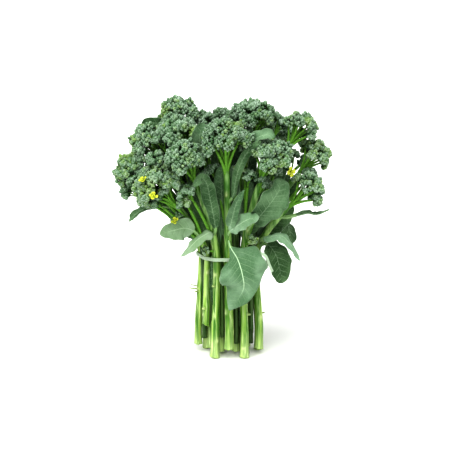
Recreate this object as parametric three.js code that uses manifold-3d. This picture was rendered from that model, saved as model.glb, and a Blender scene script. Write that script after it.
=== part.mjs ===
// A tied bunch of sprouting broccoli, standing on its cut stem ends.
//
// Sixteen shoots run up through one elastic tie. Below it they are packed into a sheaf, above it
// they fan out, and each stem forks into a few branches that carry a domed head of flower buds.
// Leaves, side shoots and open flowers grow from the stems and heads.
// Millimetres, +Z up, the front of the bunch towards -Y. The origin is on the table, under the
// middle of the bunch.
import * as THREE from "three";
import { mergeVertices } from "three/addons/utils/BufferGeometryUtils.js";
import Module from "manifold-3d";

const wasm = await Module();
wasm.setup();

// Overall sizes
const BUNCH_HEIGHT = 230;
const CROWN_WIDTH = 184;
const CROWN_DEPTH = 130;

// Stems
const TIE_HEIGHT = 90; // where the sheaf is narrowest
const BASE_FLARE = 0.12; // how much wider the sheaf is at the cut ends than at the tie
const FAN_POWER = 1.5; // 1 fans out straight from the tie, more bends the stems outwards later
const STEM_TAPER = 0.3; // share of its radius that a stem loses by the time it reaches its head
const STEM_SIDES = 8;
const STEM_STEPS = 8;
const BRANCHES = 3;
const BRANCH_RADIUS = 1.7;
const BRANCH_SPREAD = 0.42; // how far out a branch ends, as a share of its head's radius
const BRANCH_SIDES = 4;
const FORK_DROP = 1.5; // from the head's middle down to the fork, in head radii

// Heads of buds
const LOBES = 9;
const LOBE_REACH = 0.6; // all three as shares of the head's radius
const LOBE_RADIUS = 0.42;
const CORE_RADIUS = 0.55;
const LOBE_LAST_TILT = 1.65; // radians from the head's axis to its lowest lobes
const HEAD_DETAIL = 2;
const TUFT_DETAIL = 1;
const GOLDEN_ANGLE = Math.PI * (3 - Math.sqrt(5));

// Leaves
const LEAF_STEPS = 9;
const LEAF_STRIPS = 4;
const LEAF_THICKNESS = 0.9;
const BLADE_FULLNESS = 1.1; // less makes blades blunter, more makes them more pointed
const LEAF_TIP = 0.5; // half width where the blade ends
const PETIOLE_RADIUS = 1.3;

// Side shoots and flowers
const STALK_RADIUS = 1.0;
const TUFT_BUDS = 4;
const FLOWER_RADIUS = 4.6;
const FLOWER_WAIST = 0.42; // between two petals, as a share of the flower's radius
const FLOWER_THICKNESS = 1.2;
const FLOWER_STAND = 2.5; // from the buds up to the petals

// The tie
const TIE_WIDTH = 3.2;
const TIE_THICKNESS = 1.3;
const TIE_CORNERS = 20;
const KNOT_CORNER = 16; // counted from +X towards the back
const KNOT_RADIUS = 2.1;
const TAIL_WIDTH = 2.6;
const TAIL_THICKNESS = 1;
const TAIL = [[4, -6, 3], [9, -9.5, 1], [14, -11, -7.5]]; // where it passes, from the knot
const TAIL_FACE = [0.6, -1, 0.6];
const TAIL_STEPS = 5;

const GAP = 0.3; // between two pieces that touch
const TIE_SLACK = 0.45; // from the stems to the tie

// Each shoot: where its stem passes the tie, from the middle of the sheaf; the stem's radius at
// its foot; how far above the table it was cut; the middle of its head, as shares of half the
// crown's width and depth and of the bunch's height; and the head's radius.
const SHOOTS = [
  { name: "front_centre", at: [-1.5, -17], radius: 4.0, cut: 9, head: [-0.04, -0.55, 0.85], size: 21 },
  { name: "front_left", at: [-11.5, -15.5], radius: 3.9, cut: 0, head: [-0.4, -0.55, 0.775], size: 19 },
  { name: "front_right", at: [11.5, -15], radius: 4.0, cut: 0, head: [0.35, -0.43, 0.78], size: 20 },
  { name: "low_left", at: [-19.5, -10], radius: 3.6, cut: 26, head: [-0.66, -0.34, 0.67], size: 21.5 },
  { name: "far_left", at: [-25, 0.5], radius: 3.5, cut: 7, head: [-0.9, 0, 0.705], size: 17.5 },
  { name: "left", at: [-15.5, -1], radius: 3.7, cut: 4, head: [-0.74, 0, 0.82], size: 17 },
  { name: "upper_left", at: [-7, -6.5], radius: 3.7, cut: 3, head: [-0.46, -0.15, 0.85], size: 19 },
  { name: "top_left", at: [-9, 4], radius: 3.6, cut: 0, head: [-0.48, 0.23, 0.898], size: 19 },
  { name: "top_right", at: [4, -5.5], radius: 4.1, cut: 3, head: [0.21, -0.06, 0.9], size: 20.5 },
  { name: "upper_right", at: [11.8, -7.7], radius: 3.7, cut: 0, head: [0.63, -0.03, 0.864], size: 17.5 },
  { name: "right", at: [22.5, 5.5], radius: 3.7, cut: 0, head: [0.77, 0.06, 0.76], size: 16.5 },
  { name: "low_right", at: [22.5, -6], radius: 3.8, cut: 5, head: [0.7, -0.18, 0.645], size: 17.5 },
  { name: "top_back", at: [-2.3, 5], radius: 3.7, cut: 2, head: [-0.09, 0.46, 0.853], size: 18 },
  { name: "back_left", at: [-18, 9.5], radius: 3.9, cut: 0, head: [-0.54, 0.55, 0.79], size: 21 },
  { name: "back_right", at: [13, 12.5], radius: 3.9, cut: 0, head: [0.39, 0.52, 0.825], size: 22 },
  { name: "back_centre", at: [-2.5, 16.5], radius: 3.8, cut: 0, head: [-0.04, 0.77, 0.73], size: 21.5 },
];

// Each leaf: the shoot it grows from and where it leaves it, above the tie or below the middle of
// the head; the points its midrib passes after that, measured from there; half the blade's width,
// and how far along the blade it is widest; the share of the midrib that is bare stalk; how
// deeply the blade is cupped; and the way its upper side looks.
const LEAVES = [
  { name: "front_apron", on: "front_centre", aboveTie: 18, half: 20, widest: 0.3,
    stalk: 0.2, cup: -0.06, face: [0.1, -1, 0.25],
    midrib: [[3, -9, 3], [9, -18, -5], [12.7, -22.7, -22], [13, -22, -38], [1, -19, -58]] },
  { name: "left_flag", on: "low_left", aboveTie: 14, half: 9, widest: 0.45,
    stalk: 0.3, cup: 0.15, face: [-0.2, -1, 0.4],
    midrib: [[-6, -7, 10], [-14, -9, 14], [-24, -12, 13], [-36, -14, 10]] },
  { name: "left_arched", on: "front_left", aboveTie: 20, half: 5.5, widest: 0.35,
    stalk: 0.12, cup: -0.3, face: [0, -0.8, 0.7],
    midrib: [[-3, -9, 5.5], [-12.7, -13.3, 1], [-20.6, -14.3, -7], [-27.4, -13.3, -14]] },
  { name: "far_left_thin", on: "far_left", belowHead: 34, half: 3.4, widest: 0.4,
    stalk: 0.3, cup: 0.5, face: [0, -0.6, 1],
    midrib: [[-8, -8, 6], [-25, -10, 5], [-35, -10, -1.5], [-39.5, -9, -7]] },
  { name: "left_dark", on: "far_left", aboveTie: 16, half: 7, widest: 0.4,
    stalk: 0.25, cup: 0.2, face: [0.3, -1, 0.2],
    midrib: [[-4, -5, 12], [-14, -6, 24], [-27, -7, 32]] },
  { name: "centre_spear", on: "front_centre", aboveTie: 27, half: 4.8, widest: 0.35,
    stalk: 0.25, cup: 0.3, face: [-0.4, -1, 0],
    midrib: [[2, -7, 4], [4, -12, 14], [7, -15, 26], [13.6, -16, 38]] },
  { name: "centre_fan", on: "front_centre", aboveTie: 21, half: 7, widest: 0.5,
    stalk: 0.25, cup: 0.15, face: [-0.1, -1, 0.3],
    midrib: [[2, -8, 6], [8, -13, 12], [17, -17, 18.5], [26, -19, 21]] },
  { name: "centre_folded", on: "front_left", aboveTie: 22, half: 6, widest: 0.5,
    stalk: 0.2, cup: 0.25, face: [0.25, -1, 0.1],
    midrib: [[2, -8, 6], [1, -12, 17], [-2, -15, 34], [-5, -19, 49], [-10, -26, 55], [-16, -28, 48]] },
  { name: "right_broad", on: "front_right", aboveTie: 24, half: 12, widest: 0.5,
    stalk: 0.25, cup: 0.2, face: [0.1, -1, 0.35],
    midrib: [[4, -6, 8], [11, -12, 17], [20, -18, 30], [26.5, -19, 41], [29, -13, 49]] },
  { name: "right_arched", on: "low_right", aboveTie: 12, half: 5.5, widest: 0.4,
    stalk: 0.3, cup: -0.25, face: [0, -0.7, 0.8],
    midrib: [[1, -10, 6], [6, -19, 9], [16, -23, 12], [25, -24, 4], [33, -23, -10]] },
  { name: "right_dark", on: "right", aboveTie: 13, half: 7, widest: 0.5,
    stalk: 0.3, cup: -0.2, face: [0.3, -0.6, 0.8],
    midrib: [[6, -1, 7], [13, -3, 13], [22, -4, 15], [27, -5, 5], [25, -6, -7]] },
  { name: "right_cupped", on: "low_right", aboveTie: 8, half: 8.5, widest: 0.5,
    stalk: 0.3, cup: 0.35, face: [0.15, -1, 0.2],
    midrib: [[5, -6, 4], [10, -12, 3], [15, -15, -4], [18, -15.5, -16], [20.5, -13, -29]] },
  { name: "far_right_thin", on: "low_right", belowHead: 23.5, half: 2.6, widest: 0.4,
    stalk: 0.35, cup: 0.4, face: [0, -0.6, 1],
    midrib: [[8, -4, 1], [24, -8, 6], [32, -9, 5], [43, -9, 9]] },
  { name: "crown_curl", on: "upper_left", belowHead: 27.5, half: 6, widest: 0.6,
    stalk: 0.35, cup: 0.4, face: [0.2, -1, 0.1],
    midrib: [[6, -8, 6], [6, -14, 18], [4, -19, 30], [7, -18, 42]] },
  { name: "crown_left", on: "top_left", belowHead: 27, half: 5, widest: 0.5,
    stalk: 0.4, cup: 0.3, face: [0, -0.7, 0.7],
    midrib: [[-7, 1, 5], [-14, 2, 11], [-27, -5, 23], [-36, -10, 26], [-43, -14, 23]] },
  { name: "crown_long", on: "front_centre", belowHead: 55.5, half: 4.6, widest: 0.5,
    stalk: 0.15, cup: 0.3, face: [-0.5, -1, 0.1],
    midrib: [[5, -5, 8], [7, -8, 22], [12, -11, 39], [19, -14, 50], [28, -16, 57]] },
  { name: "crown_right", on: "top_right", belowHead: 33, half: 6.5, widest: 0.5,
    stalk: 0.4, cup: 0.2, face: [0, -1, 0.6],
    midrib: [[1, -12, 6], [2, -22, 13], [6, -28, 22], [15, -31, 27], [24, -30, 26]] },
  { name: "back_left", on: "back_left", aboveTie: 14, half: 15, widest: 0.35,
    stalk: 0.25, cup: -0.1, face: [-0.4, 0.8, 0.5],
    midrib: [[-4, 10, 10], [-12, 22, 19], [-20, 34, 20], [-27, 42, 8], [-30, 46, -12]] },
  { name: "back_right", on: "back_right", aboveTie: 12, half: 13, widest: 0.35,
    stalk: 0.25, cup: -0.1, face: [0.4, 0.8, 0.5],
    midrib: [[4, 10, 8], [11, 22, 15], [19, 34, 15], [25, 42, 2], [27, 45, -20]] },
  { name: "back_centre", on: "back_centre", aboveTie: 10, half: 9, widest: 0.4,
    stalk: 0.3, cup: -0.1, face: [0.1, 0.8, 0.5],
    midrib: [[3, 9, 6], [6, 20, 12], [7, 31, 12], [7, 38, 2], [6, 41, -14]] },
];

// Each side shoot: the shoot it grows from, where it leaves it, and its tuft of small buds,
// measured from there.
const SIDE_SHOOTS = [
  { name: "front_left", on: "front_left", aboveTie: 6, tuft: [-8, -6.5, 3], size: 4.5 },
  { name: "front_right", on: "front_right", aboveTie: 12, tuft: [6.5, -9, 6], size: 5 },
  { name: "left", on: "low_left", aboveTie: 24, tuft: [-14, -8, 14], size: 3.5 },
];

// Each open flower: the head or side shoot it grows from, and the way it looks from its middle.
const FLOWERS = [
  { name: "right", head: "front_right", way: [18, 4, -11] },
  { name: "upper_left", head: "low_left", way: [-9, -15, 8] },
  { name: "lower_left", head: "low_left", way: [-2, -18, -2] },
  { name: "left", sideShoot: "left", way: [-6, -7, -5] },
];

const COLOURS = {
  stem: 0x7fae3c,
  bud: 0x6f9470,
  leaf: 0x5f9a72,
  flower: 0xe2cf1e,
  tie: 0xb9cfae,
};

function vector([x, y, z]) {
  return new THREE.Vector3(x, y, z);
}

function named(list, name) {
  return list.find((entry) => entry.name === name);
}

// ---- Solids ----

function solidOf(geometry) {
  geometry.deleteAttribute("normal");
  geometry.deleteAttribute("uv");
  const merged = mergeVertices(geometry, 1e-4);
  return new wasm.Manifold(new wasm.Mesh({
    numProp: 3,
    vertProperties: merged.attributes.position.array,
    triVerts: Uint32Array.from(merged.index.array),
  }));
}

function largestBody(solid) {
  return solid.decompose().reduce((best, body) => (body.volume() > best.volume() ? body : best));
}

// A lumpy ball: each point of a unit ball is pushed out, straight from the centre, to the
// furthest of the lobes, which are balls given by their middles, from the centre, and radii.
function lumpy(centre, lobes, detail) {
  const geometry = new THREE.IcosahedronGeometry(1, detail);
  const points = geometry.attributes.position;
  const ray = new THREE.Vector3();
  for (let i = 0; i < points.count; i++) {
    ray.fromBufferAttribute(points, i);
    const reaches = lobes.map(({ at, radius }) => {
      const along = ray.dot(at);
      const root = radius ** 2 + along ** 2 - at.lengthSq();
      return root > 0 ? along + Math.sqrt(root) : 0;
    });
    ray.multiplyScalar(Math.max(...reaches)).add(centre);
    points.setXYZ(i, ray.x, ray.y, ray.z);
  }
  return solidOf(geometry);
}

// Bends a unit shape along a curve: its y, from -0.5 to 0.5, runs along the curve, its z looks
// towards face, and section turns its x and z into distances across the curve.
function bent(geometry, curve, face, section) {
  const place = geometry.attributes.position;
  for (let i = 0; i < place.count; i++) {
    const along = place.getY(i) + 0.5;
    const tangent = curve.getTangent(along);
    const side = new THREE.Vector3().crossVectors(tangent, face).normalize();
    const up = new THREE.Vector3().crossVectors(side, tangent);
    const [x, z] = section(along, place.getX(i), place.getZ(i));
    const point = curve.getPoint(along).addScaledVector(side, x).addScaledVector(up, z);
    place.setXYZ(i, point.x, point.y, point.z);
  }
  return solidOf(geometry);
}

// A round rod along a curve, with a radius that runs evenly from its start to its end.
function rod(curve, startRadius, endRadius, sides, steps) {
  const unit = new THREE.CylinderGeometry(1, 1, 1, sides, steps);
  return bent(unit, curve, new THREE.Vector3(0, -1, 0), (along, x, z) => {
    const radius = THREE.MathUtils.lerp(startRadius, endRadius, along);
    return [x * radius, z * radius];
  });
}

// ---- Stems ----

function headCentre(shoot) {
  const [across, back, up] = shoot.head;
  return new THREE.Vector3(
    (across * CROWN_WIDTH) / 2, (back * CROWN_DEPTH) / 2, up * BUNCH_HEIGHT);
}

// The middle of a stem at a height: drawn in from the flared foot to the tie, then fanned out so
// that it would reach the middle of its head.
function stemAt(shoot, height) {
  const [x, y] = shoot.at;
  if (height <= TIE_HEIGHT) {
    const below = (TIE_HEIGHT - height) / TIE_HEIGHT;
    const spread = 1 + BASE_FLARE * THREE.MathUtils.smoothstep(below, 0, 1);
    return new THREE.Vector3(x * spread, y * spread, height);
  }
  const head = headCentre(shoot);
  const share = ((height - TIE_HEIGHT) / (head.z - TIE_HEIGHT)) ** FAN_POWER;
  return new THREE.Vector3(
    THREE.MathUtils.lerp(x, head.x, share), THREE.MathUtils.lerp(y, head.y, share), height);
}

class StemLine extends THREE.Curve {
  constructor(shoot, low, high) {
    super();
    Object.assign(this, { shoot, low, high });
  }

  getPoint(along) {
    return stemAt(this.shoot, THREE.MathUtils.lerp(this.low, this.high, along));
  }
}

function stemRadius(shoot, height) {
  return shoot.radius * (1 - (STEM_TAPER * height) / headCentre(shoot).z);
}

// The way a head faces: on along its stem.
function headAxis(shoot) {
  return new StemLine(shoot, TIE_HEIGHT, headCentre(shoot).z).getTangent(1);
}

function forkHeight(shoot) {
  return headCentre(shoot).z - FORK_DROP * shoot.size * headAxis(shoot).z;
}

// Where a leaf or a side shoot leaves its stem.
function jointOf({ on, aboveTie, belowHead }) {
  const shoot = named(SHOOTS, on);
  const fromTie = aboveTie !== undefined;
  return stemAt(shoot, fromTie ? TIE_HEIGHT + aboveTie : headCentre(shoot).z - belowHead);
}

// Two directions square to an axis and to each other.
function squareTo(axis) {
  const side = new THREE.Vector3().crossVectors(axis, new THREE.Vector3(0, -1, 0)).normalize();
  return [side, new THREE.Vector3().crossVectors(side, axis)];
}

// The direction that leans from an axis by a tilt, at a turn about it.
function leaning(axis, tilt, turn) {
  const [side, up] = squareTo(axis);
  return axis.clone().multiplyScalar(Math.cos(tilt))
    .addScaledVector(side, Math.sin(tilt) * Math.cos(turn))
    .addScaledVector(up, Math.sin(tilt) * Math.sin(turn));
}

function stemSolid(shoot, grow) {
  const fork = forkHeight(shoot);
  const trunk = new StemLine(shoot, shoot.cut, fork);
  const footRadius = stemRadius(shoot, shoot.cut) + grow;
  const forkRadius = stemRadius(shoot, fork) + grow;
  let stem = rod(trunk, footRadius, forkRadius, STEM_SIDES, STEM_STEPS);
  const centre = headCentre(shoot);
  const start = stemAt(shoot, fork - shoot.radius);
  for (let i = 0; i < BRANCHES; i++) {
    const turn = (i * 2 * Math.PI) / BRANCHES + shoot.size;
    const end = leaning(headAxis(shoot), Math.PI / 2, turn)
      .multiplyScalar(BRANCH_SPREAD * shoot.size).add(centre);
    const radius = BRANCH_RADIUS + grow;
    stem = stem.add(
      rod(new THREE.LineCurve3(start, end), forkRadius * 0.8, radius, BRANCH_SIDES, 1));
  }
  return stem;
}

// ---- Heads ----

// A core with lobes round it by the golden angle, over the top and down the sides.
function headSolid(shoot, grow) {
  const centre = headCentre(shoot);
  const lobes = [{ at: new THREE.Vector3(), radius: shoot.size * CORE_RADIUS + grow }];
  for (let i = 0; i < LOBES; i++) {
    const down = (i + 0.4) / LOBES;
    const tilt = Math.acos(1 - down * (1 - Math.cos(LOBE_LAST_TILT)));
    const way = leaning(headAxis(shoot), tilt, i * GOLDEN_ANGLE + shoot.size);
    lobes.push({
      at: way.multiplyScalar(shoot.size * LOBE_REACH),
      radius: shoot.size * LOBE_RADIUS + grow,
    });
  }
  return lumpy(centre, lobes, HEAD_DETAIL);
}

// ---- Leaves ----

// Half the blade's width as a share of its widest, which comes at a share of its length.
function bladeOutline(share, widest) {
  const rise = (share / widest) ** (BLADE_FULLNESS * widest);
  return rise * ((1 - share) / (1 - widest)) ** (BLADE_FULLNESS * (1 - widest));
}

function leafSolid(leaf, grow) {
  const joint = jointOf(leaf);
  const midrib = new THREE.CatmullRomCurve3(
    [joint, ...leaf.midrib.map((point) => vector(point).add(joint))], false, "centripetal");
  const unit = new THREE.BoxGeometry(2, 1, 1, LEAF_STRIPS, LEAF_STEPS, 1);
  return bent(unit, midrib, vector(leaf.face), (along, x, z) => {
    const blade = Math.max(0, (along - leaf.stalk) / (1 - leaf.stalk));
    const least = THREE.MathUtils.lerp(PETIOLE_RADIUS, LEAF_TIP, blade);
    const half = Math.max(least, leaf.half * bladeOutline(blade, leaf.widest));
    const thickness = THREE.MathUtils.lerp(
      2 * PETIOLE_RADIUS, LEAF_THICKNESS, Math.min(1, 4 * blade));
    return [(half + grow) * x, leaf.cup * half * x * x + (thickness + 2 * grow) * z];
  });
}

// ---- Side shoots and flowers ----

function tuftCentre(sideShoot) {
  return jointOf(sideShoot).add(vector(sideShoot.tuft));
}

function sideShootSolid(sideShoot, grow) {
  const joint = jointOf(sideShoot);
  const centre = tuftCentre(sideShoot);
  const radius = STALK_RADIUS + grow;
  const stalk = rod(new THREE.LineCurve3(joint, centre), radius, radius, BRANCH_SIDES, 1);
  const axis = centre.clone().sub(joint).normalize();
  const buds = Array.from({ length: TUFT_BUDS }, (_, i) => ({
    at: leaning(axis, 1, (i * 2 * Math.PI) / TUFT_BUDS).multiplyScalar(sideShoot.size * 0.45),
    radius: sideShoot.size * 0.6 + grow,
  }));
  return stalk.add(lumpy(centre, buds, TUFT_DETAIL));
}

// Four petals in one plane on a stalk that starts inside what carries the flower.
function flowerSolid(flower, grow) {
  const onHead = flower.head !== undefined;
  const carrier = onHead ? named(SHOOTS, flower.head) : named(SIDE_SHOOTS, flower.sideShoot);
  const centre = onHead ? headCentre(carrier) : tuftCentre(carrier);
  const way = vector(flower.way).normalize();
  const eye = centre.clone().addScaledVector(way, carrier.size + FLOWER_STAND);
  const stalk = rod(
    new THREE.LineCurve3(centre, eye), STALK_RADIUS + grow, STALK_RADIUS + grow,
    BRANCH_SIDES, 1);
  const corners = Array.from({ length: 24 }, (_, i) => {
    const turn = (i * Math.PI) / 12;
    const petal = FLOWER_WAIST + (1 - FLOWER_WAIST) * Math.abs(Math.cos(2 * turn));
    const radius = FLOWER_RADIUS * petal + grow;
    return new THREE.Vector2(radius * Math.cos(turn), radius * Math.sin(turn));
  });
  const depth = FLOWER_THICKNESS + 2 * grow;
  const petals = new THREE.ExtrudeGeometry(
    new THREE.Shape(corners), { depth, bevelEnabled: false });
  petals.translate(0, 0, -depth / 2);
  petals.applyQuaternion(
    new THREE.Quaternion().setFromUnitVectors(new THREE.Vector3(0, 0, 1), way));
  petals.translate(...eye.toArray());
  return stalk.add(solidOf(petals));
}

// ---- The tie ----

// The line that an elastic band takes round the stems, held off them by a distance: at each
// angle it touches the stem that reaches furthest that way.
function bandLine(distance) {
  return Array.from({ length: TIE_CORNERS }, (_, i) => {
    const turn = (i * 2 * Math.PI) / TIE_CORNERS;
    const way = new THREE.Vector2(Math.cos(turn), Math.sin(turn));
    const touched = SHOOTS.map((shoot) => {
      const reach = stemRadius(shoot, TIE_HEIGHT) + distance;
      return way.clone().multiplyScalar(reach).add(new THREE.Vector2(...shoot.at));
    });
    return touched.reduce((best, point) => (point.dot(way) > best.dot(way) ? point : best));
  });
}

// The band, its knot at the front right, and the loose end that hangs out of the knot.
function tieSolid(grow) {
  const outer = TIE_SLACK + TIE_THICKNESS;
  const band = new THREE.Shape(bandLine(outer + grow));
  band.holes.push(new THREE.Path(bandLine(TIE_SLACK - grow)));
  const depth = TIE_WIDTH + 2 * grow;
  const ring = new THREE.ExtrudeGeometry(band, { depth, bevelEnabled: false });
  ring.translate(0, 0, TIE_HEIGHT - depth / 2);
  const corner = bandLine(outer)[KNOT_CORNER];
  const knot = new THREE.Vector3(corner.x, corner.y, TIE_HEIGHT);
  const tail = new THREE.CatmullRomCurve3([knot, ...TAIL.map((point) => vector(point).add(knot))]);
  const strip = bent(
    new THREE.BoxGeometry(2, 1, 1, 1, TAIL_STEPS, 1), tail, vector(TAIL_FACE),
    (along, x, z) => [(TAIL_WIDTH / 2 + grow) * x, (TAIL_THICKNESS + 2 * grow) * z]);
  const ball = [{ at: new THREE.Vector3(), radius: KNOT_RADIUS + grow }];
  return solidOf(ring).add(lumpy(knot, ball, TUFT_DETAIL)).add(strip);
}

// ---- The bunch ----

const bunch = new THREE.Group();
const taken = [];

// Adds a piece, cut back to keep its gap from every piece that is already there.
function place(name, colour, makeSolid) {
  const clear = taken.reduce((solid, other) => solid.subtract(other), makeSolid(0));
  taken.push(makeSolid(GAP));
  const { vertProperties, triVerts } = largestBody(clear).getMesh();
  const geometry = new THREE.BufferGeometry();
  geometry.setAttribute("position", new THREE.BufferAttribute(vertProperties, 3));
  geometry.setIndex(new THREE.BufferAttribute(triVerts, 1));
  geometry.computeVertexNormals();
  const material = new THREE.MeshStandardMaterial({ color: colour, roughness: 0.6, metalness: 0 });
  const mesh = new THREE.Mesh(geometry, material);
  mesh.name = name;
  bunch.add(mesh);
}

for (const shoot of SHOOTS) {
  place(`stem_${shoot.name}`, COLOURS.stem, (grow) => stemSolid(shoot, grow));
}
place("tie", COLOURS.tie, tieSolid);
for (const shoot of SHOOTS) {
  place(`head_${shoot.name}`, COLOURS.bud, (grow) => headSolid(shoot, grow));
}
for (const sideShoot of SIDE_SHOOTS) {
  place(`side_shoot_${sideShoot.name}`, COLOURS.bud, (grow) => sideShootSolid(sideShoot, grow));
}
for (const flower of FLOWERS) {
  place(`flower_${flower.name}`, COLOURS.flower, (grow) => flowerSolid(flower, grow));
}
for (const leaf of LEAVES) {
  place(`leaf_${leaf.name}`, COLOURS.leaf, (grow) => leafSolid(leaf, grow));
}

const box = new THREE.Box3().setFromObject(bunch);
const middle = box.getCenter(new THREE.Vector3());
bunch.position.set(-middle.x, -middle.y, -box.min.z);

export default bunch;
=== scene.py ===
# %% [markdown]
# # A tied bunch of sprouting broccoli
#
# Sixteen shoots stand in a sheaf on their cut ends, held by one elastic tie. Above the tie they
# fan out, fork, and carry domes of small flower buds, with leaves and a few yellow flowers.
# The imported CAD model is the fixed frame. Every piece below is grown with numpy along the same
# lines as its CAD solid, with the detail that a solid leaves out, and then stands for it.

import bpy
import numpy as np
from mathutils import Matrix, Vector


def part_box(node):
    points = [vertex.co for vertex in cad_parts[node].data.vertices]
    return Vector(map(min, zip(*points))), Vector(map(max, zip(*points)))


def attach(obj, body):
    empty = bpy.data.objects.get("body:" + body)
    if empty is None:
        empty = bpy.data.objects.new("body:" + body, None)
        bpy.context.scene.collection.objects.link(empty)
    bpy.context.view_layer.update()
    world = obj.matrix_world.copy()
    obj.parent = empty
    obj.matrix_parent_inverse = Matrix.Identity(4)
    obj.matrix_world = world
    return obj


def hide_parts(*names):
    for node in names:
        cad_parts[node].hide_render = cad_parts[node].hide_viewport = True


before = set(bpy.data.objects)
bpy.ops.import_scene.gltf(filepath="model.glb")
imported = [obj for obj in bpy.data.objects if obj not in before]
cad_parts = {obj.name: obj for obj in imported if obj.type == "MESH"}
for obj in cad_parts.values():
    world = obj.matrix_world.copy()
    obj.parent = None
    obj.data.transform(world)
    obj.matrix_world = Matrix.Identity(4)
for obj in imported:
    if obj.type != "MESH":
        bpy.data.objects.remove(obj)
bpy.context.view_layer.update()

MM = 0.001

# %% [markdown]
# ## The lines that everything grows along
#
# The sizes here repeat the part's own, in millimetres. A stem is drawn in from its flared foot
# to the tie and then fans out on a power curve to the middle of its head. Keeping one function
# for that line lets stems, heads, leaves and the tie agree without any fitting.

# %% Sizes of the bunch
BUNCH_HEIGHT, CROWN_WIDTH, CROWN_DEPTH = 230, 184, 130
TIE_HEIGHT, BASE_FLARE, FAN_POWER, STEM_TAPER = 90, 0.12, 1.5, 0.3
GOLDEN = np.pi * (3 - np.sqrt(5))

# name: place at the tie, stem radius, cut height, head (shares of half width, half depth and
# height), head radius
SHOOTS = {
    "front_centre": ((-1.5, -17), 4.0, 9, (-0.04, -0.55, 0.85), 21),
    "front_left": ((-11.5, -15.5), 3.9, 0, (-0.4, -0.55, 0.775), 19),
    "front_right": ((11.5, -15), 4.0, 0, (0.35, -0.43, 0.78), 20),
    "low_left": ((-19.5, -10), 3.6, 26, (-0.66, -0.34, 0.67), 21.5),
    "far_left": ((-25, 0.5), 3.5, 7, (-0.9, 0, 0.705), 17.5),
    "left": ((-15.5, -1), 3.7, 4, (-0.74, 0, 0.82), 17),
    "upper_left": ((-7, -6.5), 3.7, 3, (-0.46, -0.15, 0.85), 19),
    "top_left": ((-9, 4), 3.6, 0, (-0.48, 0.23, 0.898), 19),
    "top_right": ((4, -5.5), 4.1, 3, (0.21, -0.06, 0.9), 20.5),
    "upper_right": ((11.8, -7.7), 3.7, 0, (0.63, -0.03, 0.864), 17.5),
    "right": ((22.5, 5.5), 3.7, 0, (0.77, 0.06, 0.76), 16.5),
    "low_right": ((22.5, -6), 3.8, 5, (0.7, -0.18, 0.645), 17.5),
    "top_back": ((-2.3, 5), 3.7, 2, (-0.09, 0.46, 0.853), 18),
    "back_left": ((-18, 9.5), 3.9, 0, (-0.54, 0.55, 0.79), 21),
    "back_right": ((13, 12.5), 3.9, 0, (0.39, 0.52, 0.825), 22),
    "back_centre": ((-2.5, 16.5), 3.8, 0, (-0.04, 0.77, 0.73), 21.5),
}
print(len(SHOOTS), "shoots")

# %% [markdown]
# Stems, buds and petals all lean away from some axis. Euler angles would turn them one after
# another and are easy to get wrong, so the helpers here work with directions alone: a way to lean
# from an axis, and two ways square to it.

# %% Directions


def unit(v):
    """The same directions with length one."""
    return v / np.maximum(np.linalg.norm(v, axis=-1, keepdims=True), 1e-9)


def smooth(x):
    """Runs from 0 to 1 with a level start and end: 3 x squared less 2 x cubed."""
    x = np.clip(x, 0, 1)
    return x * x * (3 - 2 * x)


def square_to(axis):
    """Two directions square to each axis and to each other: the axis crossed with the front, and
    that one crossed with the axis."""
    axis = np.asarray(axis, float)
    front = np.where(np.abs(axis[..., 1:2]) > 0.95, [1.0, 0, 0], [0.0, -1, 0])
    side = unit(np.cross(axis, front))
    return side, np.cross(side, axis)


def leaning(axis, tilt, turn):
    """The direction that leans from an axis by a tilt, at a turn about it."""
    side, up = square_to(axis)
    tilt, turn = np.asarray(tilt)[..., None], np.asarray(turn)[..., None]
    return (axis * np.cos(tilt) + side * np.sin(tilt) * np.cos(turn)
            + up * np.sin(tilt) * np.sin(turn))


# %% [markdown]
# On the plant a stem is straight in the sheaf and bows outwards over the tie. A hand-drawn curve
# for each would drift from its solid, so one formula gives every stem's middle, radius and the way
# its head faces. The foot of one solid then tells how far the frame is shifted from these lines.

# %% The stem line


def head_middle(name):
    """The middle of a head: its shares of half the width, half the depth, and the height."""
    across, back, up = SHOOTS[name][3]
    return np.array([across * CROWN_WIDTH / 2, back * CROWN_DEPTH / 2, up * BUNCH_HEIGHT])


def stem_at(name, z):
    """The middle of a stem at heights z: under the tie its place there times one plus the flare,
    over it its place there plus the way to the head times the height's share to the fan's power."""
    z = np.atleast_1d(np.asarray(z, float))
    at, head = np.array(SHOOTS[name][0], float), head_middle(name)
    spread = 1 + BASE_FLARE * smooth((TIE_HEIGHT - z) / TIE_HEIGHT)
    share = np.clip((z - TIE_HEIGHT) / (head[2] - TIE_HEIGHT), 0, None) ** FAN_POWER
    xy = at * spread[:, None] + (head[:2] - at) * share[:, None]
    return np.column_stack([xy, z])


def stem_radius(name, z):
    """A stem thins evenly with height, by its taper's share at the head."""
    return SHOOTS[name][1] * (1 - STEM_TAPER * np.asarray(z) / head_middle(name)[2])


def head_axis(name):
    """The way a head faces: the slope of the stem line where it reaches the head's middle."""
    at, head = np.array(SHOOTS[name][0], float), head_middle(name)
    slope = (head[:2] - at) * FAN_POWER / (head[2] - TIE_HEIGHT)
    return unit(np.array([slope[0], slope[1], 1.0]))


foot = np.array([v.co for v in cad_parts["stem_front_left"].data.vertices]) / MM
foot = foot[foot[:, 2] < 0.2]
OFFSET = (foot.min(0) + foot.max(0)) / 2 - stem_at("front_left", 0)[0]
OFFSET[2] = 0
print("the bunch's lines start from", OFFSET.round(2), "mm in the frame")

# %% [markdown]
# ## Camera, floor and light
#
# A bunch is best shown on a white table under broad soft light. A long lens from a little above
# keeps the stems parallel. Two wide suns and a pale sky stand for soft boxes, because they light
# the table evenly however far it runs.

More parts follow.
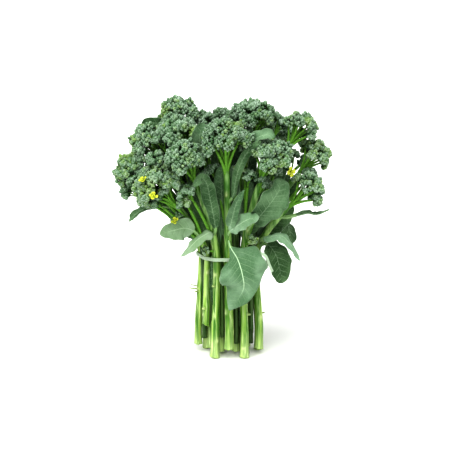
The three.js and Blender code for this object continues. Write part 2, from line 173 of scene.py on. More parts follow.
# %% Camera
AIM = (np.array([-3.0, 0, 114.5]) + OFFSET) * MM
ELEVATION, DISTANCE = np.radians(14), 1.095
camera_data = bpy.data.cameras.new("studio_camera")
camera_data.lens, camera_data.sensor_width = 100, 36
camera = bpy.data.objects.new("studio_camera", camera_data)
bpy.context.scene.collection.objects.link(camera)
away = Vector((0, -np.cos(ELEVATION), np.sin(ELEVATION)))
camera.location = Vector(AIM) + away * DISTANCE
camera.rotation_euler = away.to_track_quat("Z", "Y").to_euler()
bpy.context.scene.camera = camera
print("camera at", [round(v, 3) for v in camera.location])

# %% [markdown]
# ## Helpers for materials
#
# A material is a graph of small nodes. Made by hand in the shader editor it can't be read as text,
# so these short functions add a node, link or set its inputs, and hand back what comes out. A skin
# then reads from top to bottom as colours laid over each other by a mask.

# %% Helpers for materials


def add_node(tree, kind, inputs, **settings):
    """One shader node, with each input either linked to a socket or set to a value."""
    made = tree.nodes.new(kind)
    for key, value in settings.items():
        setattr(made, key, value)
    for key, value in inputs.items():
        if isinstance(value, bpy.types.NodeSocket):
            tree.links.new(value, made.inputs[key])
        else:
            made.inputs[key].default_value = value
    return made


def sums(tree, operation, a, b=0.0, c=0.0):
    """The output of a Math node."""
    return add_node(tree, "ShaderNodeMath", {0: a, 1: b, 2: c}, operation=operation).outputs[0]


def mixed(tree, share, a, b, most=1.0):
    """Colour a where share is 0, going towards colour b where it is 1, by at most the part given."""
    if most < 1:
        share = sums(tree, "MULTIPLY", share, most)
    made = add_node(tree, "ShaderNodeMix", {0: share}, data_type="RGBA")
    for index, value in ((6, a), (7, b)):
        if isinstance(value, bpy.types.NodeSocket):
            tree.links.new(value, made.inputs[index])
        else:
            made.inputs[index].default_value = (*value, 1)
    return made.outputs[2]


def between(tree, value, low, high):
    """0 under low, 1 over high, and smooth between them."""
    made = add_node(tree, "ShaderNodeMapRange", {"Value": value, "From Min": low, "From Max": high},
                    interpolation_type="SMOOTHSTEP")
    return made.outputs[0]


def grain(tree, where, scale, detail=3.0, stretch=(1, 1, 1)):
    """A noise over the piece's own coordinates, in repeats per metre, stretched where it is under 1."""
    placed = add_node(tree, "ShaderNodeMapping", {"Vector": where, "Scale": stretch})
    noise = add_node(tree, "ShaderNodeTexNoise",
                     {"Vector": placed.outputs[0], "Scale": scale, "Detail": detail})
    return noise.outputs[0]


def new_skin(name, roughness, **sockets):
    """A material with its Principled shader, its tree and the piece's own coordinates."""
    skin = bpy.data.materials.new(name)
    skin.use_nodes = True
    tree = skin.node_tree
    shader = tree.nodes["Principled BSDF"]
    shader.inputs["Roughness"].default_value = roughness
    for key, value in sockets.items():
        shader.inputs[key.replace("_", " ")].default_value = value
    where = tree.nodes.new("ShaderNodeTexCoord").outputs["Object"]
    return skin, tree, shader, where


def finish_skin(tree, shader, colour, height=None, strength=0.5, distance=0.0004):
    """Gives a skin its colour, and a bump of so many metres from a height."""
    tree.links.new(colour, shader.inputs["Base Color"])
    if height is not None:
        bump = add_node(tree, "ShaderNodeBump",
                        {"Height": height, "Strength": strength, "Distance": distance})
        tree.links.new(bump.outputs[0], shader.inputs["Normal"])


def marks_of(tree, name):
    """The three numbers of one of the mesh's own vector attributes."""
    read = add_node(tree, "ShaderNodeAttribute", {}, attribute_name=name)
    split = add_node(tree, "ShaderNodeSeparateXYZ", {0: read.outputs["Vector"]})
    return split.outputs


# %% [markdown]
# The table runs thirty metres each way, so that its edge is hard to see from low down. The sky is
# brighter near the horizon than overhead, which keeps the background white without washing out
# the gaps between buds. A gamma under one darkens the mid tones, and so deepens those gaps too.

# %% Floor, sky and lights
floor_data = bpy.data.meshes.new("table_top")
FLOOR_REACH = 30.0
reach = np.array([[-1, -1, 0], [1, -1, 0], [1, 1, 0], [-1, 1, 0]]) * FLOOR_REACH
floor_data.from_pydata(reach.tolist(), [], [(0, 1, 2, 3)])
floor = bpy.data.objects.new("table_top", floor_data)
bpy.context.scene.collection.objects.link(floor)
laminate, tree, shader, where = new_skin("white_laminate", 0.6)
finish_skin(tree, shader, mixed(tree, grain(tree, where, 40), (0.86, 0.86, 0.85), (0.88, 0.88, 0.87)))
floor_data.materials.append(laminate)

sky = bpy.data.worlds.new("white_room")
sky.use_nodes = True
tree = sky.node_tree
way = tree.nodes.new("ShaderNodeTexCoord").outputs["Generated"]
rise = add_node(tree, "ShaderNodeSeparateXYZ", {0: way}).outputs[2]
horizon, overhead = (0.78, 0.78, 0.78), (0.3, 0.3, 0.3)
tree.links.new(mixed(tree, between(tree, rise, 0.16, 0.3), horizon, overhead),
               tree.nodes["Background"].inputs["Color"])
bpy.context.scene.world = sky
# name, the way it shines from, strength, width in degrees
LAMPS = (("key", (-0.3, -0.75, 1.3), 3.5, 70), ("fill", (0.7, 0.7, 0.8), 0.8, 90))
for label, way, energy, spread in LAMPS:
    lamp = bpy.data.lights.new(label + "_soft_box", "SUN")
    lamp.energy, lamp.angle = energy, np.radians(spread)
    lit = bpy.data.objects.new(label + "_soft_box", lamp)
    lit.rotation_euler = Vector(way).to_track_quat("Z", "Y").to_euler()
    bpy.context.scene.collection.objects.link(lit)
develop = bpy.context.scene.view_settings
develop.view_transform, develop.exposure, develop.gamma = "Standard", 0.5, 0.74
print("floor, sky and", len(LAMPS), "soft lights")

# %% [markdown]
# ## One way to skin everything
#
# Stems, stalks, buds, leaves, petals and the tie are all stacks of closed rings. One function
# skins such a stack, or many equal stacks at once, and closes its ends with a pole. Whole arrays
# go in and come out, so ten thousand buds cost no more code than one.

# %% Skinning rings
CELLS_ACROSS, CELL_MARGIN = 8, 0.08


def loft(rings, marks, start=None, end=None, skin=0, wrap=False, cell=None):
    """Skins stacks of rings. rings[s, i, j] is point j round ring i of stack s, and the poles,
    start[s] and end[s], close the two ends, or with wrap the last ring joins the first. marks holds
    three named numbers for every ring point, and cell is each stack's square of the eight by eight
    bake map. Faces are turned outwards by the sign of the first stack's volume."""
    stacks, n, m, _ = rings.shape
    start = rings[:, 0].mean(1) if start is None else start
    end = rings[:, -1].mean(1) if end is None else end
    verts = np.concatenate([rings.reshape(stacks, n * m, 3), start[:, None], end[:, None]], 1)
    rows = np.arange(n if wrap else n - 1)[:, None]
    j = np.arange(m)[None]
    k, above = (j + 1) % m, (rows + 1) % n
    quads = np.stack([rows * m + j, rows * m + k, above * m + k, above * m + j], -1).reshape(-1, 4)
    quad_uv = np.stack([np.stack(np.broadcast_arrays(u / m, v / (n + 1)), -1) for u, v in (
        (j, rows + 1), (j + 1, rows + 1), (j + 1, rows + 2), (j, rows + 2))], -2).reshape(-1, 4, 2)
    if wrap:
        verts = verts[:, :-2]
        tris, tri_uv = np.zeros((0, 3), int), np.zeros((0, 3, 2))
    else:
        j, k = j[0], k[0]
        last = (n - 1) * m
        pole = np.full(m, n * m)
        tris = np.concatenate([np.stack([pole, k, j], -1),
                               np.stack([last + j, last + k, pole + 1], -1)])
        low, high = np.full(m, 1 / (n + 1)), np.full(m, n / (n + 1))
        tri_uv = np.concatenate([
            np.stack([np.stack([(j + 0.5) / m, 0 * low], -1), np.stack([(j + 1) / m, low], -1),
                      np.stack([j / m, low], -1)], 1),
            np.stack([np.stack([j / m, high], -1), np.stack([(j + 1) / m, high], -1),
                      np.stack([(j + 0.5) / m, 0 * high + 1], -1)], 1)])
    first = verts[0] - verts[0].mean(0)
    fans = np.concatenate([tris, quads[:, [0, 1, 2]], quads[:, [0, 2, 3]]])
    a, b, c = (first[fans[:, i]] for i in range(3))
    if np.einsum("ij,ij->i", a, np.cross(b, c)).sum() < 0:
        quads, quad_uv = quads[:, ::-1], quad_uv[:, ::-1]
        tris, tri_uv = tris[:, ::-1], tri_uv[:, ::-1]
    jump = (np.arange(stacks) * verts.shape[1])[:, None, None]
    made = {"verts": verts.reshape(-1, 3), "skin": skin, "marks": {},
            "quads": (quads + jump).reshape(-1, 4), "tris": (tris + jump).reshape(-1, 3)}
    for key, value in marks.items():
        value = np.broadcast_to(value, (stacks, n, m, 3))
        poles = [] if wrap else [value[:, [0]].mean(2), value[:, [-1]].mean(2)]
        value = np.concatenate([value.reshape(stacks, n * m, 3), *poles], 1)
        made["marks"][key] = value.reshape(-1, 3)
    cell = np.zeros(stacks, int) if cell is None else cell
    corner = np.stack([cell % CELLS_ACROSS, cell // CELLS_ACROSS], -1)[:, None, None]
    for key, uv in (("quad_uv", quad_uv), ("tri_uv", tri_uv)):
        inset = corner + CELL_MARGIN + (1 - 2 * CELL_MARGIN) * uv
        made[key] = (inset / CELLS_ACROSS).reshape(-1, uv.shape[1], 2)
    return made


# %% [markdown]
# Ten thousand separate bud objects would be slow to draw and to move, so everything that grows on
# one stem is joined in one mesh, written in whole arrays. The object stays at the origin, and its
# place is in its mesh, as it is on the CAD solids.

# %% Putting a piece in the scene
counts = {}


def add_piece(name, parts, skins, slot, *nodes, bake_cells=False):
    """Joins parts into one smooth mesh at the origin, in metres in the frame, lets it ride the bunch
    and stand for its CAD nodes. With bake_cells the parts keep their squares of the bake map."""
    starts = np.cumsum([0] + [len(p["verts"]) for p in parts])
    verts = (np.concatenate([p["verts"] for p in parts]) + OFFSET) * MM
    quads = np.concatenate([p["quads"] + s for p, s in zip(parts, starts)])
    tris = np.concatenate([p["tris"] + s for p, s in zip(parts, starts)])
    mesh = bpy.data.meshes.new(name)
    mesh.vertices.add(len(verts))
    mesh.vertices.foreach_set("co", verts.ravel())
    mesh.loops.add(quads.size + tris.size)
    mesh.loops.foreach_set("vertex_index", np.concatenate([quads.ravel(), tris.ravel()]))
    mesh.polygons.add(len(quads) + len(tris))
    mesh.polygons.foreach_set("loop_start", np.concatenate([
        np.arange(len(quads)) * 4, quads.size + np.arange(len(tris)) * 3]))
    skin_of = [np.full(len(p[kind]), p["skin"]) for kind in ("quads", "tris") for p in parts]
    mesh.polygons.foreach_set("material_index", np.concatenate(skin_of))
    mesh.polygons.foreach_set("use_smooth", np.ones(len(quads) + len(tris), bool))
    for key in parts[0]["marks"]:
        values = np.concatenate([p["marks"][key] for p in parts])
        mesh.attributes.new(key, "FLOAT_VECTOR", "POINT").data.foreach_set("vector", values.ravel())
    if bake_cells:
        uv = np.concatenate([p[kind].reshape(-1, 2) for kind in ("quad_uv", "tri_uv") for p in parts])
        mesh.uv_layers.new(name="OFBake").data.foreach_set("uv", uv.ravel())
    mesh.update(calc_edges=True)
    for skin in skins:
        mesh.materials.append(skin)
    piece = bpy.data.objects.new(name, mesh)
    bpy.context.scene.collection.objects.link(piece)
    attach(piece, "root")
    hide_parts(*nodes)
    counts[name] = 2 * len(quads) + len(tris)
    return piece


# %% [markdown]
# A stalk is thicker where it leaves its branch and bends once on its way out. A Blender curve with
# a bevel could make one, but a crown has thousands, so here they are all bent at once.

# %% Tubes along bends


def tubes(start, bend, end, thick, thin, sides=5, steps=4, skin=0, marks=None, cell=None):
    """Many round stalks at once. Each runs on the quadratic curve from start towards bend and on to
    end, and its radius goes evenly from thick to thin."""
    t = np.linspace(0, 1, steps)[None, :, None]
    start, bend, end = (np.asarray(p, float)[:, None] for p in (start, bend, end))
    line = (1 - t) ** 2 * start + 2 * t * (1 - t) * bend + t ** 2 * end
    way = unit(2 * (1 - t) * (bend - start) + 2 * t * (end - bend))
    side, _ = square_to(unit(end - start)[:, 0])
    side = unit(side[:, None] - way * (side[:, None] * way).sum(-1, keepdims=True))
    up = np.cross(side, way)
    turn = np.linspace(0, 2 * np.pi, sides, endpoint=False)
    radius = np.broadcast_to(np.reshape(thick, (-1, 1, 1)) * (1 - t) + np.reshape(thin, (-1, 1, 1)) * t,
                             (line.shape[0], steps, 1))[..., None]
    rings = line[:, :, None] + radius * (
        side[:, :, None] * np.cos(turn)[:, None] + up[:, :, None] * np.sin(turn)[:, None])
    tone = np.zeros(3) if marks is None else marks
    return loft(rings, {"paint": tone}, line[:, 0], line[:, -1], skin, cell=cell)


print("loft and tubes are ready")

# %% [markdown]
# ## Skins of stem, stalk, bud and leaf
#
# Broccoli is coated with a grey wax bloom. On the buds it turns a strong green into a dusty blue-green, with
# yellow-green where it is rubbed off. Stems are bright yellow-green, streaked lengthways with pale streaks
# that are partly a painted highlight, paler at the foot, and a cut end shows its pale pith.

# %% Stem skin
stem_skin, tree, shader, where = new_skin("waxy_stem", 0.33, Specular_IOR_Level=0.4)
height = add_node(tree, "ShaderNodeSeparateXYZ", {0: where}).outputs[2]
cut, ring, scar = marks_of(tree, "paint")[:3]
streaks_and_highlight = grain(tree, where, 1200, 3, (1, 1, 0.03))
stripe = grain(tree, where, 300, 1, (1, 1, 0.05))
blotch = grain(tree, where, 60, 2, (1, 1, 0.4))
low = mixed(tree, between(tree, stripe, 0.4, 0.62), (0.055, 0.19, 0.008), (0.33, 0.52, 0.1))
# Painted highlight: fine lengthwise streaks turn pale, standing in for the glint along each stem.
low = mixed(tree, between(tree, streaks_and_highlight, 0.48, 0.7), low, (0.6, 0.74, 0.34))
high = mixed(tree, between(tree, stripe, 0.36, 0.66), (0.07, 0.2, 0.03), (0.29, 0.47, 0.17))
body = mixed(tree, between(tree, height, 0.07, 0.14), low, high)
body = mixed(tree, between(tree, blotch, 0.42, 0.7), body, (0.06, 0.18, 0.01), 0.6)
body = mixed(tree, between(tree, height, 0.03, 0.0), body, (0.62, 0.74, 0.36), 0.45)
# Painted shade: a negative scar mark, on the leaf stalks inside the sheaf, turns them near black.
body = mixed(tree, between(tree, scar, 0.0, -1.0), body, (0.012, 0.055, 0.004))
body = mixed(tree, scar, body, (0.62, 0.66, 0.36), 0.75)
pith = mixed(tree, between(tree, ring, 0.62, 0.9), (0.74, 0.8, 0.5), (0.36, 0.56, 0.13))
body = mixed(tree, cut, body, pith)
finish_skin(tree, shader, body, streaks_and_highlight)

# %% [markdown]
# The thin stalks under the buds are fresh green where light reaches them, and a painted shade makes them
# almost black inside the head. A bud is dusty with wax at its tip, which also serves as a painted highlight,
# with painted shade in the grooves between its sepals, and the darkest painted shade at its foot, where its
# neighbours shade it. These shades and highlights are marks on the mesh, because they follow each bud
# wherever it sits, and only the blotches and specks are noise.

# %% Stalk and bud skins
stalk_skin, tree, shader, where = new_skin("young_stalk", 0.55, Specular_IOR_Level=0.15)
lit = marks_of(tree, "paint")[0]
fresh = mixed(tree, grain(tree, where, 500), (0.07, 0.22, 0.02), (0.22, 0.44, 0.07))
finish_skin(tree, shader, mixed(tree, lit, (0.01, 0.035, 0.006), fresh))

bud_skin, tree, shader, where = new_skin("waxy_bud", 0.6, Specular_IOR_Level=0.12)
tone, along, seam = marks_of(tree, "paint")[:3]
bloom = mixed(tree, between(tree, tone, 0.0, 0.6), (0.08, 0.165, 0.07), (0.17, 0.3, 0.16))
bloom = mixed(tree, between(tree, tone, 0.55, 1.0), bloom, (0.24, 0.38, 0.09))
patch = grain(tree, where, 130, 2)
bloom = mixed(tree, between(tree, patch, 0.5, 0.75), bloom, (0.38, 0.51, 0.38))
bloom = mixed(tree, between(tree, patch, 0.45, 0.25), bloom, (0.08, 0.17, 0.06))
young = between(tree, grain(tree, where, 48, 2), 0.56, 0.72)
bloom = mixed(tree, young, bloom, (0.27, 0.42, 0.055), 0.75)
speck = grain(tree, where, 1500, 2)
# Partly real wax bloom and partly a painted highlight: bud tips go pale in specks.
tip = sums(tree, "MULTIPLY", between(tree, along, 0.3, 1.0), between(tree, speck, 0.35, 0.65))
bloom = mixed(tree, tip, bloom, (0.68, 0.77, 0.7), 0.62)
# Painted shade in the grooves between the sepals, and the darkest painted shade at each bud's foot.
bloom = mixed(tree, seam, bloom, (0.02, 0.07, 0.012), 0.65)
bloom = mixed(tree, between(tree, along, 0.5, 0.05), bloom, (0.01, 0.04, 0.006))
finish_skin(tree, shader, bloom, speck, 0.4, 0.0003)
print("stem, stalk and bud skins")

# %% [markdown]
# A leaf is a thin sheet that is cupped along its midrib, ruffled at its edge and puckered by its
# side veins. A flat outline bent by modifiers would hide those sizes in a stack of settings. Here
# a closed ring of points, over and under the sheet, is carried along the midrib, so that the
# same function serves leaves and petals. The front leaf alone has an outline of its own.

# %% A blade's midrib and outline
PETIOLE_RADIUS, LEAF_TIP, BLADE_FULLNESS = 1.3, 0.5, 1.1
# The side veins' distance apart, how steeply they climb, their width and their depth
VEIN_SPACING, VEIN_CLIMB, VEIN_WIDTH, VEIN_DEPTH = 5.5, 0.75, 0.8, 0.35
# The front leaf is broad at the fold and lobed on one side: share of the blade, reach to the
# bunch's right, reach to its left
APRON_EDGE = np.array([
    (0, 1.3, 1.3), (0.1, 8, 3), (0.2, 18, 7), (0.27, 20, 13), (0.34, 19.5, 18.5),
    (0.42, 21, 20.5), (0.5, 24, 20.5), (0.57, 22, 19.5), (0.63, 16, 18.5), (0.7, 13, 18),
    (0.78, 10.5, 16.5), (0.86, 8, 12), (0.94, 4.5, 6.5), (1, 0.5, 0.5)])


def midrib_line(points, count):
    """A centripetal Catmull-Rom curve: between two points a cubic whose slopes at both come from their
    neighbours, spaced by the square root of their distances."""
    p = np.array(points, float)
    p = np.vstack([2 * p[0] - p[1], p, 2 * p[-1] - p[-2]])
    t = np.linspace(0, 1, count) * (len(p) - 3)
    i = np.minimum(t.astype(int), len(p) - 4)
    w = (t - i)[:, None]
    a, b, c, d = (p[i + k] for k in range(4))
    d0, d1, d2 = (np.sqrt(np.linalg.norm(leg, axis=-1, keepdims=True)) for leg in (b - a, c - b, d - c))
    t1 = ((b - a) / d0 - (c - a) / (d0 + d1) + (c - b) / d1) * d1
    t2 = ((c - b) / d1 - (d - b) / (d1 + d2) + (d - c) / d2) * d1
    return b + w * t1 + w ** 2 * (-3 * b + 3 * c - 2 * t1 - t2) + w ** 3 * (2 * b - 2 * c + t1 + t2)


def outline(share, widest):
    """Half the blade's width as a share of its widest: a rise on one power times a fall on another."""
    share = np.clip(share, 1e-6, 1 - 1e-6)
    rise = (share / widest) ** (BLADE_FULLNESS * widest)
    return rise * ((1 - share) / (1 - widest)) ** (BLADE_FULLNESS * (1 - widest))


def half_widths(blade, x, half, widest, petiole, edge, waves):
    """The blade's half width along it: its outline, or its own edge on either side, times one plus
    two small waves, and never under a petiole's radius that thins to the tip's."""
    wide = half * outline(blade, widest) * np.ones_like(x)
    if edge is not None:
        reach = [np.interp(blade[:, 0], edge[:, 0], edge[:, k]) for k in (1, 2)]
        reach = [np.convolve(np.pad(r, 1, "edge"), [0.25, 0.5, 0.25], "valid")[:, None] for r in reach]
        wide = np.where(x < 0, *reach) * np.ones_like(x)
    grown = smooth(blade * 5) * smooth((1 - blade) * 5)
    uneven = 1 + grown * (0.07 * np.sin(9 * blade + waves[0] + x)
                          + 0.045 * np.sin(23 * blade + waves[1] + 2 * x))
    return np.maximum(petiole + (LEAF_TIP - petiole) * blade, wide * uneven * (blade > 0))


def side_veins(x, blade, over, run):
    """How much a side vein shows, from 0 to 1: a bell about lines that climb outwards one spacing
    apart, half a spacing later on one side, and fade towards the edge and the petiole."""
    phase = run / VEIN_SPACING - VEIN_CLIMB * over / VEIN_SPACING + 0.5 * (x > 0)
    from_vein = np.abs(phase - np.round(phase)) * VEIN_SPACING
    bell = np.exp(-(from_vein / VEIN_WIDTH) ** 2)
    return bell * smooth(over / 1.5) * (1 - 0.6 * np.abs(x)) * smooth(blade * 8)


# %% A blade
# The ridge of the midrib: its height at the petiole and its bell's width, as a share of the
# petiole's radius
RIB_SHARE = 0.8


def blade_part(points, half, widest, stalk, cup, face, ruffle, seed, tone=0.5, twist=0, edge=None,
               petiole=PETIOLE_RADIUS, thickness=0.7, skin=0, steps=60, strips=13):
    """A closed thin blade along its midrib. Across it x runs from -1 to 1, packed closer by the
    midrib. Its height is the cup times the half width times x squared, plus a ruffle that grows
    with x cubed, less a press at each side vein and, underneath, the ridge of the midrib. It is
    rolled about its midrib by up to the twist in degrees, and its tone goes from 0, deep green, to
    1, grey."""
    rng = np.random.default_rng(seed)
    line = midrib_line(points, steps)
    way = unit(np.gradient(line, axis=0))
    side = unit(np.cross(way, np.array(face, float)))
    along = np.linspace(0, 1, steps)[:, None]
    blade = np.clip((along - stalk) / (1 - stalk), 0, 1)
    roll = np.radians(twist) * np.sin(2.6 * blade)
    side = side * np.cos(roll) + np.cross(side, way) * np.sin(roll)
    up = np.cross(side, way)
    across = np.linspace(-1, 1, 2 * strips - 1)
    across = np.sign(across) * np.abs(across) ** 1.4
    x = np.concatenate([across, across[::-1]])[None]
    top = np.concatenate([np.ones(len(across)), -np.ones(len(across))])[None]
    waves = rng.uniform(0, 6, 4)
    wide = half_widths(blade, x, half, widest, petiole, edge, waves)
    length = np.concatenate([[0], np.cumsum(np.linalg.norm(np.diff(line, axis=0), axis=-1))])[:, None]
    over, run = wide * np.abs(x), length + 0 * x
    ripple = ruffle * smooth(blade * 5) * smooth((1 - blade) * 5) * np.abs(x) ** 3 * (
        np.sin(13 * blade + waves[2] + 1.5 * np.sign(x))
        + 0.6 * np.sin(29 * blade + waves[3] - np.sign(x)))
    press = VEIN_DEPTH * min(1.0, half / 10) * side_veins(x, blade, over, run)
    thick = 2 * petiole + (thickness - 2 * petiole) * np.minimum(1, 4 * blade)
    taper = np.sqrt(np.clip(1 - 0.9 * np.abs(x) ** 6, 0, 1))
    rib_wide = RIB_SHARE * petiole
    rib = rib_wide * (1 - 0.8 * blade) * np.exp(-(over / rib_wide) ** 2) * smooth(blade * 6)
    rib = rib * np.where(top < 0, 1, 0.15)
    lift = cup * wide * x ** 2 + ripple - press + 0.5 * top * thick * taper - rib
    rings = line[:, None] + side[:, None] * (wide * x)[..., None] + up[:, None] * lift[..., None]
    paint = np.stack(np.broadcast_arrays(wide * x, run, (1 - top) / 2), -1)
    share = np.stack(np.broadcast_arrays(x, blade, tone + 0 * x), -1)
    pale_rib = np.full(3, 0.9 if edge is not None else 0.15 + 0.25 * tone)
    return loft(rings[None], {"paint": paint[None], "share": share[None], "rib": pale_rib}, skin=skin)


fill = outline(np.linspace(0, 1, 200), 0.4).mean()
print("a blade that is widest at two fifths fills", round(float(fill), 2), "of its length times width")

# %% [markdown]
# Both sides of a leaf share one skin. On top it is deep green to grey green under its wax, below
# it is paler, and the midrib, the side veins and a fine net of veins are lighter still. The side
# veins are drawn from the same distances that press them into the blade, and a little noise bends
# them, so colour and relief agree only roughly.

# %% Leaf skin
leaf_skin, tree, shader, where = new_skin("waxy_leaf", 0.55, Specular_IOR_Level=0.15)
over, run, under = marks_of(tree, "paint")[:3]
across, blade, tone = marks_of(tree, "share")[:3]
distance = sums(tree, "ABSOLUTE", over)
right = sums(tree, "GREATER_THAN", across, 0.0)
bent = sums(tree, "MULTIPLY", sums(tree, "SUBTRACT", grain(tree, where, 90, 1), 0.5), 2.2)
climb = sums(tree, "MULTIPLY_ADD", distance, -VEIN_CLIMB, run)
phase = sums(tree, "DIVIDE", sums(tree, "ADD", climb, bent), VEIN_SPACING)
phase = sums(tree, "MULTIPLY_ADD", right, 0.5, phase)
offset = sums(tree, "ABSOLUTE", sums(tree, "SUBTRACT", phase, sums(tree, "ROUND", phase)))
vein = sums(tree, "SUBTRACT", 1.0, between(tree, offset, 0.02, 0.085))
vein = sums(tree, "MULTIPLY", vein, between(tree, sums(tree, "ABSOLUTE", across), 1.0, 0.1))
fine = add_node(tree, "ShaderNodeTexVoronoi", {"Vector": where, "Scale": 420.0},
                feature="DISTANCE_TO_EDGE")
net = sums(tree, "SUBTRACT", 1.0, between(tree, fine.outputs[0], 0.0, 0.09))
cloud = grain(tree, where, 55, 4)
deep = mixed(tree, between(tree, cloud, 0.35, 0.7), (0.026, 0.07, 0.018), (0.1, 0.19, 0.075))
grey = mixed(tree, between(tree, cloud, 0.35, 0.7), (0.16, 0.3, 0.165), (0.32, 0.45, 0.34))
top_green = mixed(tree, tone, deep, grey)
top_green = mixed(tree, between(tree, tone, 0.6, 1.0), top_green, (0.27, 0.34, 0.2), 0.5)
top_green = mixed(tree, net, top_green, (0.3, 0.45, 0.27), 0.16)
top_green = mixed(tree, vein, top_green, (0.32, 0.47, 0.28), 0.4)
pale_green = mixed(tree, between(tree, cloud, 0.3, 0.7), (0.2, 0.29, 0.16), (0.35, 0.43, 0.3))
dull_green = mixed(tree, between(tree, cloud, 0.3, 0.7), (0.07, 0.16, 0.055), (0.14, 0.25, 0.11))
pale_green = mixed(tree, between(tree, tone, 0.0, 0.8), dull_green, pale_green)
pale_green = mixed(tree, net, pale_green, (0.42, 0.52, 0.36), 0.2)
pale_green = mixed(tree, vein, pale_green, (0.45, 0.56, 0.37), 0.5)
blade_green = mixed(tree, between(tree, under, 0.35, 0.65), top_green, pale_green)
midrib = sums(tree, "MULTIPLY", between(tree, distance, 0.55, 0.22), between(tree, blade, 0.9, 0.6))
midrib = sums(tree, "MULTIPLY", midrib, marks_of(tree, "rib")[0])
petiole = between(tree, blade, 0.04, 0.0)
blade_green = mixed(tree, petiole, blade_green, (0.24, 0.4, 0.15))
blade_green = mixed(tree, midrib, blade_green, (0.5, 0.66, 0.45))
rim = between(tree, sums(tree, "ABSOLUTE", across), 0.94, 1.0)
blade_green = mixed(tree, rim, blade_green, (0.36, 0.46, 0.32), 0.45)
relief = sums(tree, "MULTIPLY_ADD", net, -0.4, sums(tree, "MULTIPLY", vein, -1.0))
finish_skin(tree, shader, blade_green, relief, 0.55)

# %% [markdown]
# ## Stems
#
# A shoot's stem is not a smooth rod: it has shallow ridges, swells where a leaf grew, and carries
# the scars and stubs of trimmed leaves. Its end is sliced across, often a little askew. Here the
# radius is a function of height and turn, and a few extra rings make the sliced face.

# %% Stubs that trimming left: shoot, height, turn in degrees, length, radius
STUBS = [
    ("far_left", 58, 205, 7, 0.5), ("far_left", 60.5, 185, 5.5, 0.4), ("far_left", 56, 225, 3, 0.6),
    ("low_left", 44, 240, 2.2, 1.1), ("left", 16, 205, 2, 0.8), ("front_right", 40, -30, 2.2, 0.9),
    ("front_left", 66, 235, 2.0, 1.0), ("right", 34, -15, 3, 0.6), ("back_left", 52, 120, 2.5, 1.0),
    ("back_right", 30, 60, 2.2, 0.9), ("back_centre", 61, 95, 2.5, 1.0),
]


def ring_bumps(turn, z, marks):
    """A sum of soft bumps on the stem's skin, each a bell over the turn and the height about its own."""
    total = np.zeros(np.broadcast_shapes(turn.shape, z.shape))
    for height, angle, wide, tall, proud in marks:
        off = np.angle(np.exp(1j * (turn - angle)))
        total = total + proud * np.exp(-(off / wide) ** 2 - ((z - height) / tall) ** 2)
    return total


# %% A stem
RING_POINTS, STEM_RINGS, SLOPED_RINGS = 24, 70, 12
FACE_SHARES = np.array([0.3, 0.62, 0.86, 0.97])[:, None, None]


def sliced_face(rng, name, middle, rings, turn):
    """The sliced end: rings at shares of the lowest one, nearly level and a little rough, then
    raised to one side by a slope. The lowest rings of the stem are raised with it, less and less."""
    cut_z = SHOOTS[name][2]
    face = middle + (rings[0] - middle)[None] * FACE_SHARES
    inward = 1 - FACE_SHARES[..., 0]
    face[..., 2] = cut_z + 0.25 * inward + 0.25 * np.sin(5 * turn + 9 * FACE_SHARES[..., 0])
    slope = 0.55 if name == "low_left" else rng.uniform(0.05, 0.22)
    lean = slope * ((rings[0, :, :2] - middle[:2]) @ unit(rng.normal(size=2)))
    raised = lean - lean.min()
    face[..., 2] += raised * FACE_SHARES[..., 0] - inward * lean.min()
    rings[:SLOPED_RINGS, :, 2] += raised * np.linspace(1, 0, SLOPED_RINGS)[:, None]
    return face


def stem_part(name, number):
    """A stem as rings from its cut end to its fork. The radius is the taper times one plus small
    ridges round it, a slow swell along it, a bump at each leaf scar and a little flare at the foot.
    Below the tie its middle also sways a little from its line."""
    rng = np.random.default_rng(100 + number)
    _, _, cut_z, _, size = SHOOTS[name]
    middle, axis = head_middle(name), head_axis(name)
    top, fork = middle[2] - size * axis[2], middle[2] - 1.5 * size * axis[2]
    z = np.concatenate([[cut_z + 0.15, cut_z + 0.7], np.linspace(cut_z + 2, top, STEM_RINGS)])[:, None]
    turn = np.linspace(0, 2 * np.pi, RING_POINTS, endpoint=False)[None]
    scars = [(cut_z + 12 + 21 * k + rng.uniform(-5, 5), k * GOLDEN + number, 0.5, 1.6, 0.11)
             for k in range(7)]
    stubs = [(h, np.radians(a), 0.45, 2.2, 0.16) for who, h, a, _, _ in STUBS if who == name]
    ridge = (0.035 * np.cos(5 * turn + 0.012 * z * (number % 5 - 2) + number)
             + 0.02 * np.cos(3 * turn + number * 2))
    swell = 0.045 * np.sin(z / 13 + number) + 0.03 * np.sin(z / 5.3 + 2 * number)
    flare = (0.1 * np.exp(-(z - cut_z) / 5)
             + 0.06 * np.exp(-(z - cut_z) / 2) * np.cos(7 * turn + number))
    bumps = ring_bumps(turn, z, scars + stubs)
    slim = 1 - 0.5 * smooth((z - fork) / (top - fork))
    radius = stem_radius(name, z) * slim * (0.97 + ridge + swell + flare + bumps)
    line = stem_at(name, z[:, 0])
    sway = rng.uniform(-1, 1, (2, 2)) * [[1.3, 0.6], [0.6, 0.4]]
    below = np.clip((TIE_HEIGHT - z) / TIE_HEIGHT, 0, 1)
    line[:, :2] += below * (sway[0] * np.sin(2.6 * below) + sway[1] * np.sin(7 * below))
    way = unit(np.gradient(line, axis=0))
    side, up = square_to(way)
    rings = line[:, None] + radius[..., None] * (
        side[:, None] * np.cos(turn)[..., None] + up[:, None] * np.sin(turn)[..., None])
    face = sliced_face(rng, name, line[0], rings, turn)
    cut, of_face = np.zeros((2, len(face) + len(rings), RING_POINTS))
    cut[:4], cut[4] = 1, 0.6
    of_face[:4], of_face[4:] = FACE_SHARES[..., 0], 1
    scar = np.concatenate([np.zeros((4, RING_POINTS)), np.clip(bumps * 9, 0, 1)])
    paint = np.stack([cut, of_face, scar], -1)
    return loft(np.concatenate([face, rings])[None], {"paint": paint[None]},
                start=face[:1].mean(1), end=line[-1:] + axis * 0.5)


